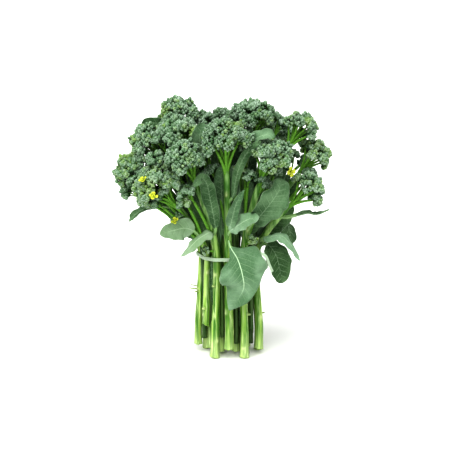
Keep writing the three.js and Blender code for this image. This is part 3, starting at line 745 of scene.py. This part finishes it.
def stub_parts(name):
    """The stubs on one stem: short tapering stalks that lean up and out from it."""
    rows = [(h, a, l, r) for who, h, a, l, r in STUBS if who == name]
    if not rows:
        return []
    h, a, l, r = (np.array(c, float) for c in zip(*rows))
    out = np.column_stack([np.cos(np.radians(a)), np.sin(np.radians(a)), 0 * a])
    foot = np.concatenate([stem_at(name, x) for x in h]) + out * (stem_radius(name, h) * 0.5)[:, None]
    tip = foot + out * (l + 2)[:, None] + np.array([0, 0, 1]) * (0.3 * l)[:, None]
    bend = (foot + tip) / 2 - [0, 0, 0.6]
    return [tubes(foot, bend, tip, r * 1.5, r, 8, 6, marks=(0, 1, 0.5))]


# %% [markdown]
# A tied sheaf is never hollow. The cut stalks of old leaves fill it, and narrow young leaves stand between
# the stems over the tie. What shows of them is painted shade: the leaves deep green and the stalks nearly
# black, for the shade inside the sheaf. Each one grows with the stem it stands beside, because it comes out
# of the bunch with it.

# %% Narrow inner leaves, and leaf stalks in the sheaf
# shoot, place at the tie, foot height, radius
LEAF_STALKS = [
    ("front_centre", (5.2, -12), 12, 2.3), ("front_right", (17.4, -9.5), 24, 2.2),
    ("low_right", (17, -3), 9, 2.5), ("front_left", (-6.3, -12.5), 18, 2.1),
    ("low_left", (-15.4, -8.6), 30, 2.2), ("far_left", (-21, -3.6), 14, 2.4),
    ("top_right", (9.5, -1), 8, 2.5), ("upper_left", (-2, -1), 10, 2.4),
    ("right", (17.5, 4), 16, 2.4), ("left", (-11, 2), 12, 2.3),
    ("back_left", (-10, 10), 20, 2.3), ("back_right", (5, 12), 15, 2.4),
    ("front_right", (15, -4), 22, 2.2), ("top_right", (8.2, -9.5), 26, 2.0),
]
STALK_BEND, STALK_TOP = 92.0, 138.0


def with_share(part, share=(0, 0, 0)):
    """Gives a part without leaf marks the marks that leaves need."""
    zero = part["marks"]["paint"] * 0
    part["marks"].update({"share": zero + share, "rib": zero})
    return part


def inner_parts(name, number):
    """Two narrow deep green leaves that climb beside and behind their own stem from over the tie,
    one more under the tie at the front left, and the cut leaf stalks of this stem's rows."""
    rng = np.random.default_rng(300 + number)
    middle, axis = head_middle(name), head_axis(name)
    parts = []
    for side in (-1, 1):
        top = middle[2] - rng.uniform(0.75, 1.15) * SHOOTS[name][4]
        z = np.linspace(TIE_HEIGHT + rng.uniform(2, 14), top, 6)
        share = np.linspace(0, 1, 6)[:, None]
        away = np.array([side * rng.uniform(6, 11), rng.uniform(1, 7), 0])
        points = stem_at(name, z) + away * share * (1.6 - share) + [0, 1.5, 0]
        # Tones under 0.35 make these leaves deep green, a painted shade for the inside of the sheaf.
        parts.append(blade_part(
            points, rng.uniform(5, 8), 0.55, 0.12, rng.uniform(-0.3, 0.3), (0.3 * side, -1, 0.1), 1.2,
            2000 + 2 * number + side, rng.uniform(0, 0.35), 30 * side, skin=1, steps=28, strips=7))
    if name == "front_left":
        points = [[-15.5, -13.5, 92], [-15.8, -15.5, 78], [-15, -17, 62], [-13.8, -17.5, 45]]
        parts.append(blade_part(points, 2.4, 0.5, 0.1, 0.3, (-0.3, -1, 0), 0.3, 2100, 0.02, 25,
                                skin=1, petiole=0.6))
    for who, at, low, size in LEAF_STALKS:
        if who != name:
            continue
        at = np.array(at, float)
        way = unit(head_middle(name)[:2] - at)
        foot = [*(at * 1.07), low]
        bend, tip = [*at, STALK_BEND], [*(at + way * 9), STALK_TOP]
        # The scar mark of -0.75 paints these stalks near black, a painted shade inside the sheaf.
        parts.append(with_share(tubes([foot], [bend], [tip], size, 0.55 * size, 10, 24,
                                      marks=(0, 1, -0.75))))
    return parts


for number, name in enumerate(SHOOTS):
    parts = [with_share(stem_part(name, number)), *map(with_share, stub_parts(name)),
             *inner_parts(name, number)]
    add_piece("shoot_" + name, parts, [stem_skin, leaf_skin], "stem", "stem_" + name)
print("stems", sum(v for k, v in counts.items() if k.startswith("shoot_")), "triangles")

# %% [markdown]
# ## Heads of buds
#
# A head is a tree in small: the stem forks into branches, each branch into twigs, each twig into
# thin stalks with one bud on each. Lobes on the head and smaller lobes on each lobe are spaced by
# the golden angle, as the plant spaces them, and the buds cover only the parts of the small lobes
# that no other lobe hides. A bud is an egg of four sepals with grooves between them.

# %% Branching balls


def dome(axis, count, last_tilt, turn):
    """Directions over a cap about each axis, evenly spread by the golden angle down to the last tilt."""
    down = (np.arange(count) + 0.4) / count
    tilt = np.arccos(1 - down * (1 - np.cos(last_tilt)))
    return leaning(axis[..., None, :], tilt, np.arange(count) * GOLDEN + np.asarray(turn)[..., None])


def ball(count):
    """Directions over a whole ball, evenly spread by the golden angle."""
    z = 1 - (2 * np.arange(count) + 1) / count
    turn = np.arange(count) * GOLDEN
    return np.column_stack([np.sqrt(1 - z * z) * np.cos(turn), np.sqrt(1 - z * z) * np.sin(turn), z])


# %% [markdown]
# A closed bud is an egg, four sepals round, fattest below its middle. A crown holds thousands, so one bud is
# only four rings of eight points and two poles. How deep a bud lies between the small lobes darkens it,
# partly because there it has less wax and partly as a painted shade for where its neighbours shade it.

# %% Buds
BUD_ALONG = np.array([0.1, 0.36, 0.68, 0.9])
BUD_GIRTH = np.array([0.32, 0.5, 0.47, 0.28])
BUD_GROOVE = np.array([0.02, 0.1, 0.2, 0.26])
TONES, SHADE_STEPS = 20, 3


def bud_parts(rng, foot, axis, width, ripeness_and_shade, hidden=0.0):
    """Buds as eggs of four rings. A ring's radius is the girth there, less a groove at every other point, so
    that four sepals stand out. hidden goes from 0 on the outside to 1 in a crevice, and gives a bud painted
    shade in three steps. Each bud has one of twenty tones and one of three steps of painted shade, and each
    pair of these its own bake cell."""
    count = len(foot)
    spin = rng.uniform(0, 2 * np.pi, count)[:, None]
    side, up = square_to(axis)
    turn = spin + np.linspace(0, 2 * np.pi, 8, endpoint=False)
    seam = np.tile([0.0, 1.0], 4)
    girth = BUD_GIRTH[:, None] * (1 - BUD_GROOVE[:, None] * seam)
    long = width * rng.uniform(1.02, 1.32, count)
    flat = girth[None, :, :, None] * (side[:, None, None] * np.cos(turn)[:, None, :, None]
                                      + up[:, None, None] * np.sin(turn)[:, None, :, None])
    rings = (foot[:, None, None] + flat * width[:, None, None, None]
             + axis[:, None, None] * (BUD_ALONG[:, None, None] * long[:, None, None, None]))
    tone = np.clip(((ripeness_and_shade + rng.normal(0, 0.22, count)) * TONES).astype(int), 0, TONES - 1)
    shade_step = np.round(np.clip(hidden, 0, 1) * (SHADE_STEPS - 1)).astype(int)
    cell = tone + TONES * shade_step
    paint = np.zeros((count, 4, 8, 3))
    paint[..., 0] = (tone / (TONES - 1))[:, None, None]
    # Painted shade: the deeper a bud lies in a crevice, the higher its dark foot reaches.
    paint[..., 1] = BUD_ALONG[:, None] * (1 - 0.3 * shade_step * np.ones(count))[:, None, None]
    paint[..., 2] = seam * np.array([0.2, 0.7, 1, 1])[:, None]
    return loft(rings, {"paint": paint}, foot, foot + axis * long[:, None], skin=0, cell=cell)


# %% [markdown]
# A head could be a ball with bumps, but its branches show from the side and below. So the stalks
# are grown too, from stem to branch, branch to twig and twig to bud. Branches and twigs bend as
# they leave, and the stalk of a single bud is short and straight. Before a bud is placed, its spot
# is tested against every other small lobe of the same head.

# %% Where buds can sit
LIT, DIM = (1, 0.5, 0), (0.25, 0.5, 0)
BRANCH_CELL, TWIG_CELL, PEDICEL_CELL = 61, 62, 63


def many(a):
    """Rows of points from an array of any shape."""
    return a.reshape(-1, a.shape[-1])


def clear_spots(centre, radius, way, apart_by):
    """Spots on balls that no other ball holds and that aren't on the side of their own twig, about
    apart_by from each other. Gives each one's ball, its ray, its place, and its distance to the
    next ball's centre as a share of that ball's radius."""
    count = int(4 * np.pi * np.mean(radius) ** 2 / apart_by ** 2) + 4
    rays = ball(count)
    spot = centre[:, None] + radius[:, None, None] * rays
    apart = np.linalg.norm(spot[:, :, None] - centre, axis=-1) / radius
    own = np.arange(len(centre))
    apart[own, :, own] = 9
    nearest = apart.min(-1)
    keep = (nearest > 1.0) & (np.einsum("kc,sc->sk", rays, way) > -0.2)
    which, ray = np.nonzero(keep)
    return which, rays[ray], spot[which, ray], nearest[which, ray]


# %% A head


def grow_head(rng, middle, axis, size, fork, thick, lobes=9, twigs=6, width=3.2, ripeness_and_shade=0.5,
              loose=0.0):
    """A head of buds about middle, facing along axis, on branches from the fork. It has lobes, each with
    small lobes on twigs, and buds of about the width on these. ripeness is the buds' mean tone from dusty
    green to yellow-green, set lower as painted shade for heads and florets further back, and loose opens the
    gaps between the lobes."""
    ways = unit(dome(axis, lobes, 1.65, size) + rng.normal(0, 0.07, (lobes, 3)))
    lobe = middle + (0.6 + 0.1 * loose) * size * ways * rng.uniform(0.9, 1.06, (lobes, 1))
    lobe_r = (0.42 - 0.09 * loose) * size * rng.uniform(0.85, 1.1, (lobes, 1))
    below = middle - 0.9 * size * axis
    stalk_way = unit(lobe - below)
    twig_ways = dome(stalk_way, twigs, 1.6, rng.uniform(0, 6, lobes))
    small = lobe[:, None] + 0.62 * lobe_r[..., None] * twig_ways
    small_r = 0.48 * lobe_r * rng.uniform(0.75, 1.15, (lobes, twigs))
    twig_way = unit(small - (lobe - 0.8 * lobe_r * stalk_way)[:, None])
    lobe_base = lobe - 0.7 * lobe_r * stalk_way
    small_base = many(small - 0.75 * small_r[..., None] * twig_way)
    rise = np.clip((ways @ axis)[:, None], 0, 1)
    start = fork + (below - fork) * (0.1 + 0.9 * rise)
    bend = start + axis * 0.45 * np.linalg.norm(lobe_base - start, axis=-1, keepdims=True)
    parts = [tubes(start, bend, lobe_base, thick * (0.66 - 0.2 * rise[:, 0]), 0.05 * size, 7, 7,
                   cell=np.full(lobes, BRANCH_CELL), skin=1, marks=LIT)]
    foot, grown = (many(np.repeat(a[:, None], twigs, 1)) for a in (lobe_base, stalk_way))
    bent = foot + 0.4 * np.linalg.norm(small_base - foot, axis=-1, keepdims=True) * grown
    parts.append(tubes(foot, bent, small_base, 0.038 * size, 0.026 * size, 5, 4,
                       cell=np.full(len(foot), TWIG_CELL), skin=1, marks=(0.7, 0.5, 0)))
    which, ray, spot, nearest = clear_spots(many(small), small_r.ravel(), many(twig_way), 0.8 * width)
    out = unit(ray + 0.6 * many(twig_way)[which] + rng.normal(0, 0.2, (len(ray), 3)))
    fat = width * rng.uniform(0.72, 1.2, len(ray))
    proud = rng.normal(0, 0.35, (len(ray), 1)) + 1.5 * (rng.uniform(size=(len(ray), 1)) > 0.95)
    foot = spot + out * (proud - 0.9 * fat[:, None])
    base = small_base[which]
    parts.append(tubes(base, (base + foot) / 2, foot + out * 0.2, 0.4, 0.5, 4, 2,
                       cell=np.full(len(foot), PEDICEL_CELL), skin=1, marks=DIM))
    # Buds crowded by other lobes or sunk in the head get painted shade.
    crowded = smooth(1 - (nearest - 1) / 0.45)
    sunk = smooth((0.92 - np.linalg.norm(spot - middle, axis=-1) / size) / 0.35)
    parts.append(bud_parts(rng, foot, out, fat, ripeness_and_shade, 0.6 * crowded + 0.7 * sunk))
    return parts


# %% [markdown]
# Between the big heads the same shoots push out smaller side florets, which is why the crown
# looks full. Each one is a smaller head on a stalk that leaves its stem lower down.

# %% Side florets: shoot, height where it leaves the stem, middle, radius
FLORETS = [
    ("left", 108, (-62, -18, 176), 10), ("far_left", 104, (-80, -8, 159), 10),
    ("far_left", 108, (-73, -4, 175), 9.5), ("low_left", 96, (-55, -26, 149), 8.5),
    ("low_left", 96, (-63, -23, 141), 7), ("low_left", 98, (-67, -19, 152), 7.5),
    ("far_left", 112, (-86, -4, 146), 8), ("low_left", 100, (-47, -30, 160), 10.5),
    ("front_left", 104, (-35, -37, 152), 8.5), ("upper_left", 118, (-24, -22, 187), 10),
    ("left", 120, (-53, 0, 199), 11), ("left", 116, (-60, -10, 191), 9.5),
    ("top_left", 130, (-22, 18, 203), 11), ("top_back", 130, (2, 12, 205), 10),
    ("top_back", 124, (-12, 3, 197), 11), ("top_right", 122, (12, -16, 196), 9.5),
    ("front_right", 112, (14, -25, 186), 8), ("upper_right", 126, (41, 2, 203), 9),
    ("front_right", 102, (27, -26, 157), 9), ("front_right", 108, (16, -27, 164), 7.5),
    ("low_right", 100, (68, -2, 158), 9), ("back_left", 104, (-30, 34, 182), 14),
    ("back_right", 106, (16, 36, 176), 14), ("right", 104, (58, 24, 164), 13),
    ("back_left", 100, (-66, 20, 156), 13), ("top_back", 110, (0, 2, 180), 14),
    ("top_right", 126, (36, 6, 182), 12), ("upper_left", 110, (-30, 2, 180), 13),
    ("upper_left", 106, (-40, -12, 172), 11), ("front_centre", 112, (-14, -24, 168), 7.5),
    ("front_left", 108, (-22, -30, 164), 6.5), ("front_centre", 108, (8, -26, 170), 6.5),
    ("top_left", 112, (-52, 14, 178), 12), ("front_right", 100, (38, -22, 166), 7),
    ("low_left", 98, (-38, -32, 143), 6.5), ("far_left", 98, (-66, -16, 138), 7),
]


def floret(rng, name, height, middle, size, **kind):
    """A side floret: a stalk that leaves the stem at a height, and a small head on its end."""
    middle = np.array(middle, float)
    joint = stem_at(name, height)[0]
    axis = unit(unit(middle - joint) + 0.5 * unit(middle - np.array([0, 0, 110.0])))
    fork = middle - 1.5 * size * axis
    bend = fork - axis * 0.35 * np.linalg.norm(fork - joint)
    thick = 0.09 * size + 0.5
    stalk = tubes([joint], [bend], [fork + 0.2 * size * axis], 1.25 * thick, thick, 10, 14, skin=1,
                  marks=LIT, cell=np.full(1, BRANCH_CELL))
    return [stalk, *grow_head(rng, middle, axis, size, fork, thick, **kind)]


# %% Grow the heads: how ripe the buds are, lowered as painted shade for heads further back, how wide in millimetres, and how loose the head is
# The low tone of top_back is a painted shade for a head further back.
RIPENESS_AND_SHADE = {"low_left": 0.7, "far_left": 0.62, "left": 0.5, "upper_left": 0.35, "top_back": 0.05,
            "front_centre": 0.4, "top_right": 0.35, "right": 0.7, "low_right": 0.55, "top_left": 0.55}
BUD_WIDTH = {"upper_left": 4.4, "low_left": 4.5, "left": 4.2, "far_left": 4.1, "front_left": 3.9,
             "top_left": 3.7, "low_right": 3.7, "front_centre": 3.3}
LOOSE = {"upper_right": 1.0, "right": 1.0, "low_right": 0.9, "low_left": 0.5, "far_left": 0.4,
         "front_right": 0.4}
BUD_POINTS = 34
for number, name in enumerate(SHOOTS):
    rng = np.random.default_rng(500 + number)
    middle, axis, size = head_middle(name), head_axis(name), SHOOTS[name][4]
    kind = dict(width=BUD_WIDTH.get(name, 3.5), ripeness_and_shade=RIPENESS_AND_SHADE.get(name, 0.5),
                loose=LOOSE.get(name, 0.1))
    fork_z = middle[2] - (2.0 if name == "front_centre" else 1.6) * size * axis[2]
    fork = stem_at(name, fork_z)[0]
    parts = grow_head(rng, middle, axis, size, fork, float(stem_radius(name, fork_z)), **kind)
    for who, height, place, small in FLORETS:
        if who == name:
            # Florets towards the back get a lower tone, a painted shade.
            deep = dict(kind, ripeness_and_shade=kind["ripeness_and_shade"] - (0.4 if place[1] > -10 else 0.1))
            parts += floret(rng, name, height, place, small, lobes=5, twigs=5, **deep)
    if name == "left":
        tip = np.array([[-85.0, -4, 192.5]])
        parts.append(tubes([[-70, -4, 185]], [[-79, -4, 190]], tip, 0.5, 0.35, 5, 8, skin=1, marks=DIM))
        parts.append(bud_parts(rng, tip, unit(np.array([[-1.0, 0, 0.5]])), np.array([2.2]), 0.1))
    add_piece("buds_" + name, parts, [bud_skin, stalk_skin], "bud", "head_" + name, bake_cells=True)
    buds = sum(len(p["verts"]) for p in parts if p["skin"] == 0) // BUD_POINTS
    print("head", name, "has", buds, "buds")
print("heads", sum(v for k, v in counts.items() if k.startswith("buds_")), "triangles")

# %% [markdown]
# ## Leaves
#
# Twenty leaves hang from the stems and stand up between the heads, some folded, some curled, the
# largest in front of the tie. Each is one blade along a midrib of four to seven points, which
# start on its stem. The rows give what tells one leaf from the next, and a loop grows them all.

# %% Leaf lines: shoot, above the tie (or minus below the head), half width, widest, stalk, cup,
# face, ruffle, midrib, then tone (0 deep green, 1 grey) and twist in degrees
LEAVES = {
    "front_apron": ("front_centre", 18, 20, 0.3, 0.2, -0.06, (0.1, -1, 0.25), 1.3,
                    [[2, -9, -5], [8, -18, -13], [12, -22.7, -25], [13, -22, -38], [1, -19, -58]], 0.48, 0),
    "left_flag": ("low_left", 14, 9, 0.45, 0.3, 0.32, (-0.2, -1, 0.4), 0.8,
                  [[-6, -7, 10], [-14, -9, 14], [-24, -12, 13], [-36, -14, 10]], 0.9, 18),
    "left_arched": ("front_left", 20, 5.5, 0.35, 0.12, -0.3, (0, -0.8, 0.7), 0.5,
                    [[-3, -9, 5.5], [-12.7, -13.3, 1], [-20.6, -14.3, -7], [-27.4, -13.3, -14]], 1.0, -20),
    "far_left_thin": ("far_left", -34, 3.4, 0.4, 0.3, 0.5, (0, -0.6, 1), 0.4,
                      [[-8, -8, 6], [-25, -10, 5], [-35, -10, -1.5], [-39.5, -9, -7]], 0.15, 15),
    "left_dark": ("far_left", 16, 7, 0.4, 0.25, 0.2, (0.3, -1, 0.2), 0.8,
                  [[-4, -5, 12], [-14, -6, 24], [-27, -7, 32]], 0.15, 20),
    "centre_spear": ("front_centre", 27, 4.8, 0.35, 0.25, 0.55, (-0.4, -1, 0), 0.4,
                     [[2, -7, 4], [4, -12, 14], [7, -15, 26], [13.6, -16, 38]], 0.35, -25),
    "centre_fan": ("front_centre", 21, 7, 0.5, 0.25, 0.15, (-0.1, -1, 0.3), 0.8,
                   [[2, -8, 6], [8, -13, 12], [17, -17, 18.5], [26, -19, 21]], 0.75, 22),
    "centre_folded": ("front_left", 22, 6, 0.5, 0.2, 0.6, (0.25, -1, 0.1), 0.6,
                      [[2, -8, 6], [1, -12, 17], [-2, -15, 34], [-5, -19, 49], [-10, -26, 55],
                       [-16, -28, 48]], 0.15, 20),
    "right_broad": ("front_right", 24, 12, 0.5, 0.25, 0.38, (0.1, -1, 0.35), 1.2,
                    [[4, -6, 8], [11, -12, 17], [20, -18, 30], [26.5, -19, 41], [29, -13, 49]], 0.22, -25),
    "right_arched": ("low_right", 12, 5.5, 0.4, 0.3, -0.25, (0, -0.7, 0.8), 0.5,
                     [[1, -10, 6], [6, -19, 9], [16, -23, 12], [25, -24, 4], [33, -23, -10]], 0.7, 20),
    "right_dark": ("right", 13, 9, 0.5, 0.3, -0.2, (0.3, -0.6, 0.8), 0.6,
                   [[6, -1, 7], [13, -3, 13], [22, -4, 15], [27, -5, 5], [25, -6, -7]], 0.08, 15),
    "right_cupped": ("low_right", 8, 10.5, 0.5, 0.3, 0.35, (0.15, -1, 0.2), 0.9,
                     [[5, -6, 4], [10, -12, 3], [15, -15, -4], [18, -15.5, -16], [20.5, -13, -29]], 0.05, 10),
    "far_right_thin": ("low_right", -23.5, 2.6, 0.4, 0.35, 0.4, (0, -0.6, 1), 0.3,
                       [[8, -4, 1], [24, -8, 6], [32, -9, 5], [43, -9, 9]], 0.2, 20),
    "crown_curl": ("upper_left", -27.5, 6, 0.6, 0.35, 0.4, (0.2, -1, 0.1), 0.6,
                   [[6, -8, 6], [6, -14, 18], [4, -19, 30], [7, -18, 42]], 0.3, 15),
    "crown_left": ("top_left", -27, 5, 0.5, 0.4, 0.3, (0, -0.7, 0.7), 0.6,
                   [[-7, 1, 5], [-14, 2, 11], [-27, -5, 23], [-36, -10, 26], [-43, -14, 23]], 0.15, 20),
    "crown_long": ("front_centre", -55.5, 3.8, 0.5, 0.15, 0.3, (-0.5, -1, 0.1), 0.5,
                   [[5, -5, 8], [7, -8, 22], [12, -11, 39], [19, -14, 50], [28, -16, 57]], 0.12, -20),
    "crown_right": ("top_right", -33, 5.8, 0.5, 0.4, 0.45, (0, -1, 0.6), 0.7,
                    [[1, -12, 6], [2, -22, 13], [6, -28, 22], [15, -31, 27], [24, -30, 26]], 0.35, 15),
    "back_left": ("back_left", 14, 15, 0.35, 0.25, -0.1, (-0.4, 0.8, 0.5), 1.3,
                  [[-4, 10, 10], [-12, 22, 19], [-20, 34, 20], [-27, 42, 8], [-30, 46, -12]], 0.3, 20),
    "back_right": ("back_right", 12, 13, 0.35, 0.25, -0.1, (0.4, 0.8, 0.5), 1.3,
                   [[4, 10, 8], [11, 22, 15], [19, 34, 15], [25, 42, 2], [27, 45, -20]], 0.4, -20),
    "back_centre": ("back_centre", 10, 9, 0.4, 0.3, -0.1, (0.1, 0.8, 0.5), 1.0,
                    [[3, 9, 6], [6, 20, 12], [7, 31, 12], [7, 38, 2], [6, 41, -14]], 0.35, 15),
}
print(len(LEAVES), "leaves")

# %% Grow the leaves
for number, (name, leaf) in enumerate(LEAVES.items()):
    shoot, where_from, half, widest, stalk, cup, face, ruffle, midrib, tone, twist = leaf
    z = TIE_HEIGHT + where_from if where_from > 0 else head_middle(shoot)[2] + where_from
    joint = stem_at(shoot, z)[0]
    points = [joint, *(joint + np.array(p, float) for p in midrib)]
    part = blade_part(points, half, widest, stalk, cup, face, 1.8 * ruffle, 900 + number, tone, twist,
                      APRON_EDGE if name == "front_apron" else None)
    piece = add_piece("blade_" + name, [part], [leaf_skin], "leaf", "leaf_" + name)
    lo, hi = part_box("leaf_" + name)
    own = (part["verts"] + OFFSET) * MM
    gap = max(np.abs(own.min(0) - np.array(lo)).max(), np.abs(own.max(0) - np.array(hi)).max())
    print(f"leaf {name}: its box is within {gap * 1000:.1f} mm of its solid's")

# %% [markdown]
# ## Side shoots
#
# Near the tie a few side shoots stay short and carry small tufts of buds. A tuft is a head with
# fewer lobes and finer buds, so the same function grows it, on a stalk of its own.

# %% Side shoots: stem, height over the tie, way to the tuft's middle, radius
SIDE_SHOOTS = {
    "front_left": ("front_left", 6, (-8, -6.5, 3), 4.5),
    "front_right": ("front_right", 12, (6.5, -9, 6), 5),
    "left": ("low_left", 24, (-14, -8, 14), 3.5),
}


def tuft_middle(name):
    """Where a side shoot leaves its stem, and the middle of its tuft."""
    shoot, above, tuft, _ = SIDE_SHOOTS[name]
    joint = stem_at(shoot, TIE_HEIGHT + above)[0]
    return joint, joint + np.array(tuft, float)


for number, name in enumerate(SIDE_SHOOTS):
    rng = np.random.default_rng(700 + number)
    joint, middle = tuft_middle(name)
    size = SIDE_SHOOTS[name][3]
    axis = unit(middle - joint)
    fork = middle - 1.2 * size * axis
    parts = [tubes([joint], [(joint + fork) / 2], [fork + axis], 1.2, 1.0, 8, 6, skin=1,
                   marks=LIT, cell=np.full(1, BRANCH_CELL))]
    parts += grow_head(rng, middle, axis, size, fork, 1.0, lobes=5, twigs=3, width=2.4, ripeness_and_shade=0.7)
    add_piece("tuft_" + name, parts, [bud_skin, stalk_skin], "bud", "side_shoot_" + name,
              bake_cells=True)
print("side shoots", len(SIDE_SHOOTS))

# %% [markdown]
# ## Flowers
#
# Where a bunch is picked late, a few buds have opened: four yellow petals in a cross round six
# stamens. A petal narrows to a claw at the eye, so it is a small blade with a short stalk, grown by
# the function that grows the leaves. The petals close by degrees, since few of them lie flat.

# %% The flowers and their skin
# name: the shoot that carries it, or none for a side shoot, and the way it stands out
FLOWERS = {
    "right": ("front_right", (18, 4, -11)), "upper_left": ("low_left", (-9, -15, 8)),
    "lower_left": ("low_left", (-2, -18, -2)), "left": (None, (-6, -7, -5)),
}
FLOWER_RADIUS, FLOWER_STAND = 4.6, 2.5
# How far each is closed, and which way it turns its face
OPENING = {"right": (0.1, (0, -0.8, 0.35)), "upper_left": (1.0, (-0.3, -0.2, 0.9)),
           "lower_left": (0.8, (0.2, -0.3, 1.0)), "left": (1.2, (0.1, -0.2, 0.8))}
petal_skin, tree, shader, where = new_skin("yellow_petal", 0.6)
vein = grain(tree, where, 900, 2)
yellow = mixed(tree, vein, (0.42, 0.46, 0.02), (0.62, 0.68, 0.07))
claw = between(tree, marks_of(tree, "share")[1], 0.35, 0.0)
finish_skin(tree, shader, mixed(tree, claw, yellow, (0.5, 0.6, 0.06)))


# %% Grow the flowers


def flower_parts(centre, way, reach, seed, closed, look):
    """A stalk from the carrier's middle to the flower's eye, at the reach along the way, four cupped
    petals square to the look, lifted the more the flower is closed, and six stamens."""
    rng = np.random.default_rng(seed)
    eye = centre + way * reach
    way = unit(0.6 * way + np.array(look, float))
    side, up = square_to(way)
    stalk = tubes([centre], [(centre + eye) / 2], [eye], 1.0, 0.7, 8, 5, skin=1)
    turn = np.linspace(0, 2 * np.pi, 6, endpoint=False) + 0.3
    out = side * np.cos(turn)[:, None] + up * np.sin(turn)[:, None]
    tips = eye + way * 2.2 + out * 0.8
    stamens = tubes(np.repeat(eye[None], 6, 0), eye + way * 1.2 + out * 0.9, tips, 0.2, 0.42, 5, 5, skin=0)
    parts = [with_share(part, (0, 1, 0)) for part in (stalk, stamens)]
    for k in range(4):
        angle = k * np.pi / 2 + rng.uniform(-0.3, 0.3)
        out = side * np.cos(angle) + up * np.sin(angle)
        lift = rng.uniform(0.3, 0.8) + closed
        points = [eye - way * 0.4, eye + out * 1.6 + way * 0.3,
                  eye + out * (3.2 - 0.6 * closed) + way * lift,
                  eye + out * (FLOWER_RADIUS - closed) + way * (1.3 * lift - 0.3)]
        parts.append(blade_part(points, 2.0 - 0.5 * closed, 0.62, 0.12, 0.25, way, 0.25, seed + k,
                                petiole=0.35, thickness=0.3, steps=16, strips=5))
    return parts


for number, (name, (carrier, way)) in enumerate(FLOWERS.items()):
    if carrier:
        centre, size = head_middle(carrier), SHOOTS[carrier][4]
    else:
        centre, size = tuft_middle("left")[1], SIDE_SHOOTS["left"][3]
    parts = flower_parts(centre, unit(np.array(way, float)), size + FLOWER_STAND,
                         800 + 10 * number, *OPENING[name])
    add_piece("bloom_" + name, parts, [petal_skin, stalk_skin], "flower", "flower_" + name)
print("flowers", len(FLOWERS))

# %% [markdown]
# ## The tie
#
# A bunch is held by a flat elastic band, pulled tight and knotted. It rests on the outermost stems and runs
# straight between them, so its line is worked out from the stems' places and radii. The same strap makes the
# band, the knot and the loose end. Its ribs are a bump and a painted shade, darker in the grooves and paler
# on the crests, because they are finer than the mesh.

# %% The tie's skin
tie_skin, tree, shader, where = new_skin("elastic_band", 0.55)
ribs = marks_of(tree, "paint")
rib = sums(tree, "SINE", sums(tree, "MULTIPLY", ribs[1], 7.0))
# Painted shade in the grooves between the ribs, and painted light on their crests.
cord = mixed(tree, between(tree, rib, -0.6, 0.6), (0.27, 0.38, 0.25), (0.47, 0.58, 0.43))
cord = mixed(tree, grain(tree, where, 600), cord, (0.58, 0.68, 0.55), 0.4)
finish_skin(tree, shader, cord, rib, 0.5, 0.0002)

# %% The tie
TIE_WIDTH, TIE_THICKNESS, TIE_SLACK = 3.2, 1.3, 0.45
KNOT_TURN, KNOT_RADIUS = 16 * 2 * np.pi / 20, 2.1
TAIL = [[6, -8, 6], [12, -12, 9], [17, -13, 7], [20, -13.5, 0], [23, -13, -7]]
TAIL_FACE, TAIL_WIDTH, TAIL_THICKNESS = (0.6, -1, 0.6), 2.6, 1.0


def band_line(distance, turn):
    """Where a band held off the stems by a distance goes: at each turn the place of the stem that
    reaches furthest that way, plus its radius and the distance."""
    way = np.column_stack([np.cos(turn), np.sin(turn)])
    at = np.array([SHOOTS[n][0] for n in SHOOTS], float)
    reach = np.array([float(stem_radius(n, TIE_HEIGHT)) for n in SHOOTS]) + distance
    best = np.argmax(way @ at.T + reach, 1)
    return at[best] + way * reach[best][:, None]


def strap(line, face, wide, thick, wrap=False):
    """A flat strap of rounded section along a line: a square whose corners are drawn in, wide
    across and thick towards its face. With wrap it closes on itself."""
    way = unit(np.roll(line, -1, 0) - np.roll(line, 1, 0)) if wrap else unit(np.gradient(line, axis=0))
    side = unit(np.cross(way, face))
    up = np.cross(side, way)
    turn = np.linspace(0, 2 * np.pi, 16, endpoint=False)
    cos, sin = np.cos(turn), np.sin(turn)
    x, y = np.sign(cos) * np.abs(cos) ** 0.5 * wide / 2, np.sign(sin) * np.abs(sin) ** 0.5 * thick / 2
    rings = line[:, None] + side[:, None] * x[:, None] + up[:, None] * y[:, None]
    run = np.concatenate([[0], np.cumsum(np.linalg.norm(np.diff(line, axis=0), axis=-1))])
    paint = np.stack(np.broadcast_arrays(run[:, None], x[None], y[None]), -1)
    return loft(rings[None], {"paint": paint[None]}, wrap=wrap)


# %% Wind the tie
turn = np.linspace(0, 2 * np.pi, 720, endpoint=False)
loop = band_line(TIE_SLACK + TIE_THICKNESS / 2, turn)
loop = np.vstack([loop, loop[:1]])
steps = np.concatenate([[0], np.cumsum(np.linalg.norm(np.diff(loop, axis=0), axis=-1))])
even = np.linspace(0, steps[-1], 200, endpoint=False)
wave = TIE_HEIGHT + 0.35 * np.sin(3 * 2 * np.pi * even / steps[-1])
band = np.column_stack([*(np.interp(even, steps, loop[:, k]) for k in range(2)), wave])
outward = np.column_stack([band[:, :2] - band[:, :2].mean(0), 0 * even])
ring = strap(band, unit(outward), TIE_WIDTH, TIE_THICKNESS, wrap=True)
corner = band_line(TIE_SLACK + TIE_THICKNESS, np.array([KNOT_TURN]))[0]
knot = np.array([*corner, TIE_HEIGHT])
t = np.linspace(0, 2 * np.pi, 60, endpoint=False)
trefoil = np.column_stack([np.sin(t) + 2 * np.sin(2 * t), -np.sin(3 * t), np.cos(t) - 2 * np.cos(2 * t)])
wound = strap(knot + trefoil * 0.42 * KNOT_RADIUS / 1.3, np.array([0.3, -1.0, 0.2]), 1.6, 1.3, wrap=True)
tail = strap(midrib_line([knot, *(knot + np.array(p, float) for p in TAIL)], 30),
             np.array(TAIL_FACE, float), TAIL_WIDTH, TAIL_THICKNESS)
add_piece("elastic_tie", [ring, wound, tail], [tie_skin], "tie", "tie")
print("tie", round(steps[-1]), "mm round,", counts["elastic_tie"], "triangles")
print("the whole bunch", sum(counts.values()), "triangles in", len(counts), "pieces")
